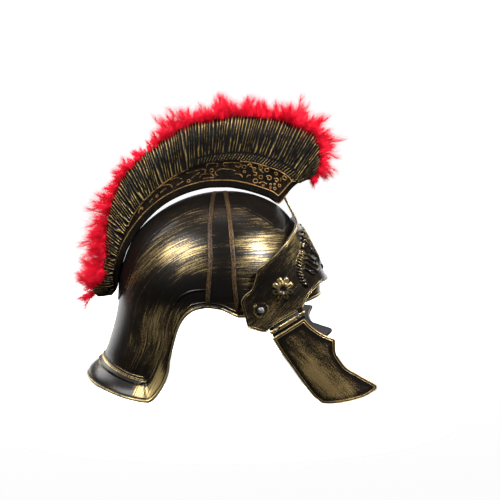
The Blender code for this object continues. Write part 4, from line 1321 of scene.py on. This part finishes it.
def make_feathers(settings, finish):
    """Three pieces of fluff: every barb is a thin three-sided spike."""
    pieces = 3
    corner = np.radians([0.0, 120.0, 240.0])
    threes = np.array([[0, 1, 2], [0, 3, 1], [1, 3, 2], [2, 3, 0]])
    for piece in range(pieces):
        start, end, t, luck = feather_barbs(settings, 40 + piece, settings.plumes // pieces)
        run = unit(end - start)
        side = unit(np.cross(run, UP + 0.01))
        other = np.cross(run, side)
        ring = (side[:, None] * np.cos(corner)[None, :, None]
                + other[:, None] * np.sin(corner)[None, :, None])
        low = start[:, None] + ring * settings.thickness / MM / 2
        points = np.concatenate([low, end[:, None]], axis=1)
        base = (np.arange(len(start)) * 4)[:, None, None]
        # tip and shade carry the down's painted light: painted shade towards the roots, paler tips.
        tip = np.repeat(np.array([[0.0, 0.0, 0.0, 1.0]]), len(start), 0)
        tip = np.clip(tip * 0.6 + 0.5 * t[:, None], 0, 1)
        shade = np.clip(0.35 + 0.9 * t[:, None] + 0.4 * (luck[:, None] - 0.5) + 0.3 * tip, 0, 1)
        put_down(f"feather_edging_{piece}", points, [(threes[None] + base).reshape(-1, 3)],
                 finish, "helmet", "red_feather", ("feather_trim",) if piece == 0 else (),
                 tip=tip.ravel(), shade=shade.ravel())


# ---------------------------------------------------------------- the brow plate
def brow_skin(plan_deg, z):
    """Outer skin: a squarish half oval in plan whose front leans forward with depth."""
    turn = np.radians(plan_deg)
    front = BROW_TOP[0] + BROW_LEAN * (BROW_TOP[1] - z)
    ahead = np.cos(turn)
    beside = (1 - np.clip(ahead, 0, 1) ** BROW_SQUARE) ** (1 / BROW_SQUARE)
    return np.stack([DOME_X + (front - DOME_X) * ahead, BROW_SIDE * beside * np.sign(plan_deg),
                     z + 0 * turn], axis=-1)


def edge_distance(points):
    """Distance of every point of a grid from the grid's own border, in mm."""
    border = np.concatenate([points[0], points[-1], points[:, 0], points[:, -1]])
    return np.stack([np.sqrt(((row[:, None] - border[None]) ** 2).sum(-1).min(1))
                     for row in points])


def lobes(across, upward, table):
    """Overlapping cushions: each is a capsule from one spot to another whose height falls
    off as the root of one minus the squared distance from its core."""
    height = np.zeros_like(across)
    for start_a, start_b, end_a, end_b, radius, tall in table:
        run = np.array([end_a - start_a, end_b - start_b], float)
        size = max(run @ run, 1e-6)
        share = np.clip(((across - start_a) * run[0] + (upward - start_b) * run[1]) / size, 0, 1)
        away = np.hypot(across - start_a - run[0] * share, upward - start_b - run[1] * share)
        shape = tall * np.sqrt(np.clip(1 - (away / radius) ** 2, 0, 1))
        height = np.maximum(height, shape)
    return height


def chain(points, radius, tall):
    """Capsules end to end through a run of spots."""
    return [(*start, *end, radius, tall) for start, end in zip(points[:-1], points[1:])]


def eagle_table():
    """Capsules of a spread eagle: body, head, tail, and two wings.  Each wing has a scaled
    shoulder, rows of hanging feathers, and a tip edged with paired leaves about two curls.
    Across and up in mm from its breast."""
    table = [(0, 10, 0, -6, 8.5, 1.0), (0, 13, 1, 20, 5.2, 0.95), (3, 23, 2, 22, 4.5, 1.0),
             (6, 24, 10, 22, 1.7, 0.9)]
    shoulder = ((7, 12), (16, 19), (34, 23), (50, 25), (62, 23), (70, 16), (73, 8))
    lower = ((6, -8), (20, -11), (36, -8), (50, -3), (60, 0), (66, 2))
    tip = np.array([(77, 2), (82, -4), (86.5, -11.5), (89, -19), (89.6, -26), (88, -33)])
    tail = np.array([(10, -9), (14, -16), (20, -19), (25, -16), (22, -13)])
    scroll = along([(77, -17.5), (65, -19.5), (50, -17.5), (39, -11.5), (45, -6), (56, -7.5),
                    (61, -12), (54, -14.5)], np.linspace(0, 1, 26))
    quills = (((73, 1), (63, -5), (53, -9)), ((75, -4), (66, -10), (57, -14)),
              ((78, -9), (71, -15), (64, -18.5)), ((81, -15), (76, -20), (70, -22)))
    for side in (-1, 1):
        flip = np.array([side, 1.0])
        for feather in range(3):
            table.append((side * 1.5 * feather, -8, side * 4.4 * feather, -20 + feather, 2.3, 0.62))
        table += chain(tail * flip, 1.3, 0.6)
        for row, tall in enumerate((0.95, 0.90, 0.82, 0.72)):
            for number, share in enumerate(np.linspace(0.03, 0.99, 16 - row)):
                start = along(shoulder, [share])[0]
                reach = along(lower, [share])[0] - start
                slip = 0.05 * math.sin(2.4 * number + row)
                first = start + reach * (0.24 * row + slip)
                second = start + reach * (0.24 * row + 0.17 + slip)
                uneven = 0.12 * (number % 3 == 1) + 0.24 * (share > 0.8)
                table.append((*(first * flip), *(second * flip), 1.45, tall - uneven))
        for number, share in enumerate(np.linspace(0.03, 0.97, 12)):
            at, after = along(tip, [share, share + 0.02])
            way = unit(at - after)
            outer = np.array([way[1], -way[0]])
            wide = math.sin(math.pi * (0.15 + 0.75 * share))
            end = at + way * 1.2 + outer * (1.6 + 2.6 * wide)
            table.append((*(at * flip), *(end * flip), 1.05 + 0.2 * math.cos(1.7 * number), 1.0))
            hook = at + way * 2.0 - outer * (0.8 + 1.6 * wide)
            table.append((*(at * flip), *(hook * flip), 0.95, 0.94 - 0.16 * (number % 2)))
        table.append((*(np.array([71.5, 11.5]) * flip), *(np.array([74.5, 9.0]) * flip), 2.2, 1.0))
        table += chain(tip * flip, 2.7, 0.74)
        table += chain(scroll * flip, 0.7, 0.5)
        for quill in quills:
            table += chain(np.array(quill) * flip, 1.1, 0.62)
    return table


def rosette_table():
    """Capsules of a rosette: eight outer petals, eight small inner ones between them round a
    hollow centre, and the dents that cup the outer ones."""
    table, dents = [], []
    for petal in range(8):
        turn = 2 * math.pi * (petal + 0.5) / 8
        a, b = math.cos(turn), math.sin(turn)
        table.append((6.2 * a, 6.6 * b, 8.6 * a, 9.2 * b, 2.9, 0.85))
        dents.append((6.6 * a, 7.0 * b, 8.4 * a, 9.0 * b, 1.4, 0.45))
        turn = 2 * math.pi * petal / 8
        a, b = math.cos(turn), math.sin(turn)
        table.append((4.0 * a, 4.2 * b, 4.8 * a, 5.0 * b, 1.5, 0.8))
    return table, dents


def brow_columns():
    """Angles of the plate's columns round the head, closest together towards the ends."""
    half = np.concatenate([np.linspace(0, 12, 40, endpoint=False),
                           np.linspace(12, 52, 82, endpoint=False),
                           np.linspace(52, 70, 38, endpoint=False), np.linspace(70, 84.6, 52)])
    return np.concatenate([-half[:0:-1], half])


def make_brow(settings, finish):
    """The brow plate: a grid between its upper and lower edges with a beaded double rim, a
    spread eagle, a rosette and an eight-sided boss on each side."""
    plan = brow_columns()
    low = column(BROW_EDGES, 1, np.abs(plan))
    high = column(BROW_EDGES, 2, np.abs(plan))
    t = np.concatenate([np.linspace(0, 0.07, 18), np.linspace(0.07, 0.93, 54)[1:-1],
                        np.linspace(0.93, 1, 18)])
    z = high[None] * (1 - t[:, None]) + low[None] * t[:, None]
    skin = brow_skin(np.broadcast_to(plan, z.shape), z)
    normals = facing(grid_normals(skin), skin, (DOME_X, 0, -90))
    steps = np.linalg.norm(np.diff(skin, axis=1), axis=-1)
    across = np.concatenate([np.zeros((len(t), 1)), np.cumsum(steps, 1)], 1)
    across -= across[:, [len(plan) // 2]]
    distance = edge_distance(skin)
    rim = bead(distance, 0.65, 1.2, 0.8) + bead(distance, 2.35, 0.8, 0.4)
    eagle = lobes(across, (z - EAGLE_Z) * EAGLE_SQUASH, eagle_table())
    eagle = eagle * ramp(distance, 3.4, 4.4)
    at_side = np.abs(across) > 70
    side_x = skin[..., 0] - ROSETTE[0]
    side_z = skin[..., 2] - ROSETTE[1]
    petals, dents = rosette_table()
    rosette = (lobes(side_x, side_z, petals) - lobes(side_x, side_z, dents)) * at_side
    boss_x = skin[..., 0] - TEMPLE[0]
    boss_z = skin[..., 2] - TEMPLE[1]
    eighth = np.maximum(np.maximum(abs(boss_x), abs(boss_z)), (abs(boss_x) + abs(boss_z)) * 0.7071)
    ring = bead(eighth, 7.1, 1.3, 0.55) * at_side
    stud = band(abs(boss_x + 5.8) + abs(boss_z - 4.0), -1, 2.8, 0.55, 0.5) * at_side
    relief = rim + settings.ornament / MM * eagle + 1.9 * rosette + ring + stud
    front = skin + normals * relief[..., None]
    back = skin - normals * (settings.wall / MM)
    # Patches that shift the gold: more towards the top in the middle, less round the rosette, and a
    # small spot of more gold low near the hinge.
    uneven = 0.10 * ramp(z, -78, -52) * ramp(np.abs(across), 112, 84)
    uneven = uneven - 0.10 * np.exp(-((side_x + 4) / 24) ** 2 - (side_z / 18) ** 2)
    uneven = uneven + 0.06 * np.exp(-((skin[..., 0] - 60) / 7) ** 2 - ((z + 121) / 8) ** 2)
    gild = (0.19 * up_to(bead(distance, 0.6, 1.0, 1.0), 0.8) + 0.12 * bead(distance, 2.35, 0.7, 1.0)
            - 0.3 * bead(distance, 1.55, 0.9, 1.0) + 0.54 * eagle ** 4 - 0.22 * (eagle > 0.02)
            + 0.44 * rosette ** 2 - 0.10 * (rosette > 0)
            # painted highlight: the rosette's upper half takes more gold, as if lit from above
            + 0.22 * ramp(side_z, -2, 6) * (rosette > 0)
            + 0.10 * (ring > 0.25) + 0.12 * (stud > 0.3) + uneven)
    points, faces = sandwich(front, back)
    sideways = np.concatenate([normals, normals])[..., 1].ravel()
    strokes = np.stack([(points[:, 0] + points[:, 2]) * 0.707,
                        (points[:, 2] - points[:, 0]) * 0.707,
                        points[:, 1] * (0.03 + ramp(np.abs(sideways), 0.6, 0.2))], -1)
    put_down("brow_plate", points, faces, finish, "frontlet", "black_gold_plastic",
             ("frontlet",), brush=strokes, **plate_marks(gild))


# ---------------------------------------------------------------- hinges and cheek guards
def hinge_frame(side):
    """Start of the pin's axis and unit vectors along it, down the guard and outwards."""
    flip = Vector((1, -side, 1))
    start = Vector(HINGE_REAR) * flip
    pin = (Vector(HINGE_FRONT) * flip - start).normalized()
    down = Vector((0, 0, -1))
    down = (down - pin * down.dot(pin)).normalized()
    down = Matrix.Rotation(math.radians(-side * CHEEK_LEAN), 3, pin) @ down
    out = pin.cross(down)
    if out.y * side < 0:
        out = -out
    if side > 0:
        swing = Matrix.Rotation(math.radians(-LEFT_SWING), 3, pin)
        down = swing @ down
        out = swing @ out
    return (np.array(start), np.array(pin), np.array(down), np.array(out))


def turned(centre_a, centre_b, profile, sides=24):
    """A turned form between two points: rings at shares of the axis with their radii."""
    a, b = np.array(centre_a, float), np.array(centre_b, float)
    axis = unit(b - a)
    first = unit(np.cross(axis, UP + 0.013))
    second = np.cross(axis, first)
    profile = np.array(profile, float)
    turn = np.linspace(0, 2 * math.pi, sides, endpoint=False)
    ring = first * np.cos(turn)[:, None] + second * np.sin(turn)[:, None]
    centres = a + (b - a) * profile[:, :1]
    rings = centres[:, None] + ring[None] * profile[:, 1, None, None]
    count = len(profile)
    points = np.concatenate([rings.reshape(-1, 3), centres[[0, -1]]])
    return points, [grid_quads(count, sides, wrap_columns=True),
                    end_fans(count, sides, count * sides, count * sides + 1)]


def block(centre, axes, size, ease=0.35):
    """A small block with eased edges: a superellipse section swept between two shrunken ends."""
    centre = np.array(centre, float)
    pin, down, out = axes
    turn = np.linspace(0, 2 * math.pi, 28, endpoint=False)
    flat = np.abs(np.cos(turn)) ** ease * np.sign(np.cos(turn))
    tall = np.abs(np.sin(turn)) ** ease * np.sign(np.sin(turn))
    shares = np.array([-0.5, -0.5, -0.46, 0.46, 0.5, 0.5])
    shrink = np.array([0.7, 0.9, 1.0, 1.0, 0.9, 0.7])
    rings = (centre + pin * size[0] * shares[:, None, None]
             + down * (flat[None, :] * shrink[:, None] * size[1] / 2)[..., None]
             + out * (tall[None, :] * shrink[:, None] * size[2] / 2)[..., None])
    count = rings.shape[1]
    points = rings.reshape(-1, 3)
    ends = [np.arange(count)[None, ::-1], np.arange(count)[None] + 5 * count]
    return points, [grid_quads(6, count, wrap_columns=True)] + ends


def make_knuckles(side, finish):
    """The brow plate's two knuckles at a hinge, each a ringed barrel with its leaf."""
    start, pin, _, _ = hinge_frame(side)
    _, _, down, out = hinge_frame(-1)
    mirror = np.array([1, -side, 1])
    down, out = down * mirror, out * mirror
    axes = (pin, down, out)
    profile = ((0, 1.6), (0.04, 2.1), (0.12, 2.3), (0.34, 2.3), (0.40, 1.8), (0.60, 1.8),
               (0.66, 2.3), (0.88, 2.3), (0.96, 2.1), (1, 1.6))
    parts = []
    for low, high in KNUCKLES:
        middle = start + pin * (low + high) / 2 - down * 4.0 + out * 0.2
        parts += [(turned(start + pin * low, start + pin * high, profile), 0.22),
                  (block(middle, axes, (high - low - 0.8, 6.4, 1.8)), -0.2)]
    leaf = start + pin * 18.5 - down * 5.3 - out * 0.3
    parts.append((block(leaf, axes, (38.0, 3.0, 1.2)), -0.3))
    points, faces, gild = join_gilded(parts)
    put_down(f"brow_knuckles_{SIDES[side]}", points, faces, finish, "frontlet",
             "black_gold_plastic", sharp=35, brush=points, gild=gild,
             inside=np.zeros(len(points)))


def cheek_patch(rows, columns):
    """Grid over the guard's outline: a blend of its four edges, along the pin and down."""
    cusp = CHEEK_CUSP
    count = int(rows * cusp)
    down = np.concatenate([cusp * np.linspace(0.0, 1.0, count + 1) ** 1.35,
                           1.0 - (1 - cusp) * np.linspace(1.0, 0.0, rows - count)[1:] ** 1.35])
    upper = (down < cusp + 1e-9)[:, None]
    front = np.where(upper, along(CHEEK_UPPER_FRONT, np.clip(down / cusp, 0.0, 1.0)),
                     along(CHEEK_LOWER_FRONT, np.clip((down - cusp) / (1 - cusp), 0.0, 1.0)))
    rear = along(CHEEK_REAR, down)
    over = np.linspace(0.0, 1.0, columns)
    over = over - 0.125 * np.sin(2 * math.pi * over)
    bottom = along(CHEEK_BOTTOM, over)
    start, end = np.array(CHEEK_REAR[0]), np.array(CHEEK_UPPER_FRONT[0])
    top = start + (end - start) * over[:, None]
    u = over[None, :, None]
    v = down[:, None, None]
    sides = rear[:, None, :] * (1 - u) + front[:, None, :] * u
    ends = top[None] * (1 - v) + bottom[None] * v
    corners = ((1 - u) * (1 - v) * top[0] + u * (1 - v) * top[-1]
               + (1 - u) * v * bottom[0] + u * v * bottom[-1])
    return sides + ends - corners, u[..., 0], v[..., 0]


def make_cheek(side, settings, finish):
    """A cheek guard: its outline's patch swelled outwards, with a double raised rim."""
    start, pin, down, out = hinge_frame(side)
    flat, u, v = cheek_patch(160, 92)
    wall = settings.wall / MM
    bulge = settings.bulge / MM * (4 * u * (1 - u)) * np.sqrt(np.clip(v, 0.0, 1.0))
    skin = start + flat[..., :1] * pin + flat[..., 1:] * down + (bulge + wall / 2)[..., None] * out
    normals = facing(grid_normals(skin), skin, skin - out)
    distance = edge_distance(skin)
    rim = bead(distance, 0.65, 1.2, 0.8) + bead(distance, 2.55, 0.8, 0.4)
    front = skin + normals * rim[..., None]
    back = skin - normals * wall
    # Painted highlight: more gold down the middle of the plate, growing towards its foot; edge_dark
    # is painted shade, darker towards the edges and most at the top.
    middle_highlight = 0.20 * np.exp(-((u - 0.42) / 0.24) ** 2) * ramp(v, 0.0, 0.6) - 0.055
    edge_dark = 0.22 * ramp(distance, 9.0, 3.6) * (1 - 0.5 * v)
    gild = (0.42 * up_to(bead(distance, 0.6, 1.1, 1.0), 0.7) - 0.35 * bead(distance, 1.6, 1.1, 1.0)
            + 0.30 * bead(distance, 2.5, 0.7, 1.0) + middle_highlight - edge_dark * (distance > 3.0))
    points, faces = sandwich(front, back)
    along_pin, along_down = np.tile(flat.reshape(-1, 2), (2, 1)).T
    brush = np.stack([along_down + 0.25 * along_pin, along_pin - 0.25 * along_down,
                      np.repeat([0.0, 9.0], gild.size)], -1)
    name = SIDES[side]
    put_down(f"cheek_plate_{name}", points, faces, finish, f"{name}_cheek",
             "black_gold_plastic", (f"cheek_guard_{name}",), brush=brush,
             **plate_marks(gild))


def make_barrel(side, finish):
    """The guard's barrel on the pin, with the flat bar moulded over it and its leaf."""
    start, pin, down, out = hinge_frame(side)
    low, high = BARREL
    profile = [(0, 1.5), (0.01, 1.9), (0.03, 2.1), (0.97, 2.1), (0.99, 1.9), (1, 1.5)]
    middle = start + pin * (low + high) / 2
    axes = (pin, down, out)
    parts = (
        (turned(start + pin * low, start + pin * high, profile), -0.15),
        (block(middle + out * 1.4 - down * 0.3, axes, (high - low - 4.0, 3.0, 2.6), 0.9), 0.70),
        (block(middle + out * 1.3 + down * 2.0, axes, (high - low - 3.0, 0.9, 1.2), 0.8), 0.15),
        (block(middle + down * 4.4, axes, (high - low - 1.0, 6.8, 1.6)), -0.25),
        (block(start + pin * 17.5 + down * 4.3 - out * 0.3, axes, (37.6, 3.0, 1.2)), -0.30),
        (block(start + pin * 15.6 + down * 6.0 + out * 0.9, axes, (37.4, 1.1, 2.2), 0.8), 0.25),
    )
    points, faces, gild = join_gilded(parts)
    name = SIDES[side]
    put_down(f"cheek_barrel_{name}", points, faces, finish, f"{name}_cheek",
             "black_gold_plastic", sharp=35, brush=points, gild=gild,
             inside=np.zeros(len(points)))


def make_rivet(side, finish):
    """A temple rivet: domed head, shank and tail as one turned form."""
    x, z = TEMPLE
    head = BOSS_FACE_Y + RIVET_HEAD
    span = head - RIVET_TAIL_Y
    outline = [(0.6, 0.6), (0.75, 1.8), (1.15, 2.8), (1.7, 3.3), (2.3, 3.4), (2.35, 1.9),
               (span - 1.3, 1.9), (span - 1.2, 3.4), (span - 0.2, 3.4), (span, 3.0)]
    profile = [(depth / span, radius) for depth, radius in outline]
    points, faces = turned((x, side * head, z), (x, side * RIVET_TAIL_Y, z), profile, 32)
    name = SIDES[side]
    put_down(f"temple_rivet_head_{name}", points, faces, finish, "helmet", "rivet_steel",
             (f"temple_rivet_{name}",), sharp=40)


# ---------------------------------------------------------------- the stage
def soft_light(name, direction, distance, size, power):
    """A square soft light that looks at the helmet from a direction."""
    light = bpy.data.lights.new(name, "AREA")
    light.shape = "SQUARE"
    light.size = size
    light.energy = power
    lamp = bpy.data.objects.new(name, light)
    lamp.visible_camera = False
    bpy.context.scene.collection.objects.link(lamp)
    way = Vector(direction).normalized()
    lamp.location = Vector(LIGHT_TARGET) + way * distance
    lamp.rotation_euler = way.to_track_quat("Z", "Y").to_euler()


def make_sweep(floor_z):
    """A round pale studio: a flat floor that curves up into a wall all the way round."""
    height, floor_radius, curve = 5.0, 3.4, 0.9
    profile = [(0.0, 0.5), (0.0, 1.5)]
    profile += [(curve * (1 - math.cos(turn)) / height, floor_radius + curve * math.sin(turn))
                for turn in np.linspace(0, math.pi / 2, 16)]
    profile += [(share, floor_radius + curve) for share in np.linspace(curve / height, 1, 6)[1:]]
    points, faces = turned((0, 0, floor_z), (0, 0, floor_z + height), profile, 64)
    mesh = bpy.data.meshes.new("studio_sweep")
    mesh.from_pydata(points.tolist(), [], faces[0].tolist() + faces[1].tolist())
    mesh.shade_smooth()
    finish, _, shader = new_finish("pale_paper")
    shader.inputs["Base Color"].default_value = (0.86, 0.86, 0.86, 1.0)
    shader.inputs["Emission Color"].default_value = (1.0, 1.0, 1.0, 1.0)
    shader.inputs["Emission Strength"].default_value = 0.95
    shader.inputs["Roughness"].default_value = 0.9
    shader.inputs["Specular IOR Level"].default_value = 0.1
    mesh.materials.append(finish)
    sweep = bpy.data.objects.new("studio_sweep", mesh)
    bpy.context.scene.collection.objects.link(sweep)
    sweep.visible_glossy = False
    sweep.visible_diffuse = False
    sweep.visible_shadow = False


def make_camera(settings):
    """A long lens level with the helmet's side, square to it but for small angles."""
    turn, height = settings.turn, settings.height
    forward = Vector((-math.sin(turn) * math.cos(height), math.cos(turn) * math.cos(height),
                      -math.sin(height)))
    camera = bpy.data.cameras.new("camera")
    camera.lens = FOCAL_LENGTH * settings.distance / CAMERA_DISTANCE
    camera.sensor_width = 36.0
    camera.clip_end = 50.0
    obj = bpy.data.objects.new("camera", camera)
    bpy.context.scene.collection.objects.link(obj)
    obj.location = Vector(CAMERA_TARGET) - forward * settings.distance
    obj.rotation_euler = forward.to_track_quat("-Z", "Y").to_euler()
    bpy.context.scene.camera = obj


def make_world():
    """A faint even sky, so that no hollow goes fully black."""
    world = bpy.data.worlds.new("studio")
    bpy.context.scene.world = world
    world.use_nodes = True
    shade = world.node_tree.nodes["Background"]
    shade.inputs["Color"].default_value = (1.0, 1.0, 1.0, 1.0)
    shade.inputs["Strength"].default_value = 0.03


# ---------------------------------------------------------------- operators
class HELMET_OT_shell(bpy.types.Operator):
    """Make the moulded shell with its saddle band and side ribs"""
    bl_idname = "helmet.shell"
    bl_label = "Shell"

    def execute(self, context):
        settings = context.scene.helmet_shell
        base, gold = tuple(settings.base), tuple(settings.gold)
        make_shell(settings, gilded_plastic("brushed_shell", base, gold, bias=-0.02,
                                            speckle=0.28, edge=0.07))
        make_saddle(settings, gilded_plastic("brushed_saddle", base, gold, bias=-0.09, fine=1.3,
                                             rough=0.45, gloss=0.10, speckle=0.28))
        make_ribs(settings, gilded_plastic("brushed_ribs", base, RIB_BRONZE, bias=-0.02, fine=0.8,
                                           rough=0.42, drift=0.3, dash=9.0))
        return {"FINISHED"}


class HELMET_OT_crest(bpy.types.Operator):
    """Make the pleated crest and the raised lines of its frieze"""
    bl_idname = "helmet.crest"
    bl_label = "Crest"

    def execute(self, context):
        settings = context.scene.helmet_crest
        make_crest(settings, gilded_plastic("gilt_pleats", gold=PLEAT_GOLD, fine=1.3, rough=0.42,
                                            drift=0.3, dash=7.0, gloss=0.15))
        make_frieze(settings, gilded_plastic("gilt_lines", gold=LINE_GOLD, bias=0.06, fine=1.3,
                                             rough=0.45, dash=8.0, gloss=0.15))
        return {"FINISHED"}


class HELMET_OT_feathers(bpy.types.Operator):
    """Make the feather edging round the crest"""
    bl_idname = "helmet.feathers"
    bl_label = "Feathers"

    def execute(self, context):
        settings = context.scene.helmet_feathers
        make_feathers(settings, feather_dye_and_painted_light(tuple(settings.colour)))
        return {"FINISHED"}


class HELMET_OT_brow(bpy.types.Operator):
    """Make the pointed brow plate, its knuckles and the temple rivets"""
    bl_idname = "helmet.brow"
    bl_label = "Brow plate"

    def execute(self, context):
        settings = context.scene.helmet_brow
        make_brow(settings, gilded_plastic("brushed_brow", bias=-0.07, fine=1.5, dash=3.0,
                                           speckle=0.3, edge=0.08))
        lines = gilded_plastic("gilt_hinges", bias=0.05, fine=1.3, dash=6.0, gloss=0.25)
        steel = dull_steel()
        for side in SIDES:
            make_knuckles(side, lines)
            make_rivet(side, steel)
        for name in ("hinge_pin_right", "hinge_pin_left"):
            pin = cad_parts[name]
            pin.data.materials.clear()
            pin.data.materials.append(steel)
        return {"FINISHED"}


class HELMET_OT_cheeks(bpy.types.Operator):
    """Make the two cheek guards with their hinge barrels"""
    bl_idname = "helmet.cheeks"
    bl_label = "Cheek guards"

    def execute(self, context):
        settings = context.scene.helmet_cheeks
        plate = gilded_plastic("brushed_cheek", gold=CHEEK_GOLD, bias=-0.03, fine=1.5, rough=0.34,
                               drift=0.46, dash=2.0, blotch=1.9, speckle=0.7, edge=0.11)
        lines = gilded_plastic("gilt_barrel", gold=BARREL_GOLD, bias=0.10, fine=1.3, dash=6.0,
                               gloss=0.25)
        for side in SIDES:
            make_cheek(side, settings, plate)
            make_barrel(side, lines)
        return {"FINISHED"}


class HELMET_OT_stage(bpy.types.Operator):
    """Set up the round pale backdrop, the soft lights and the camera"""
    bl_idname = "helmet.stage"
    bl_label = "Stage"

    def execute(self, context):
        settings = context.scene.helmet_stage
        make_sweep(SOLID_BOX[0][2] - SWING_ROOM)
        make_world()
        make_camera(settings)
        for name, direction, distance, size, share in LIGHTS:
            soft_light(name, direction, distance, size, settings.light * share)
        context.scene.view_settings.view_transform = "Standard"
        return {"FINISHED"}


class HELMET_PT_panel(bpy.types.Panel):
    """Sizes and colours of the helmet, and a button for each of its pieces"""
    bl_idname = "HELMET_PT_panel"
    bl_label = "Roman costume helmet"
    bl_space_type = "VIEW_3D"
    bl_region_type = "UI"
    bl_category = "Helmet"

    def draw(self, context):
        for operator, store, settings in STEPS:
            box = self.layout.box()
            box.operator(operator.bl_idname)
            group = getattr(context.scene, store)
            for name in settings.__annotations__:
                box.prop(group, name)


STEPS = (
    (HELMET_OT_shell, "helmet_shell", ShellSettings),
    (HELMET_OT_crest, "helmet_crest", CrestSettings),
    (HELMET_OT_feathers, "helmet_feathers", FeatherSettings),
    (HELMET_OT_brow, "helmet_brow", BrowSettings),
    (HELMET_OT_cheeks, "helmet_cheeks", CheekSettings),
    (HELMET_OT_stage, "helmet_stage", StageSettings),
)


def register():
    """Register the settings, the operators and the panel"""
    for operator, store, settings in STEPS:
        bpy.utils.register_class(settings)
        bpy.utils.register_class(operator)
        setattr(bpy.types.Scene, store, PointerProperty(type=settings))
    bpy.utils.register_class(HELMET_PT_panel)


def unregister():
    """Undo register, last first"""
    bpy.utils.unregister_class(HELMET_PT_panel)
    for operator, store, settings in reversed(STEPS):
        delattr(bpy.types.Scene, store)
        bpy.utils.unregister_class(operator)
        bpy.utils.unregister_class(settings)


def main():
    """Make every piece and the stage"""
    register()
    bpy.ops.helmet.shell()
    bpy.ops.helmet.crest()
    bpy.ops.helmet.feathers()
    bpy.ops.helmet.brow()
    bpy.ops.helmet.cheeks()
    bpy.ops.helmet.stage()


if __name__ == "__main__":
    main()
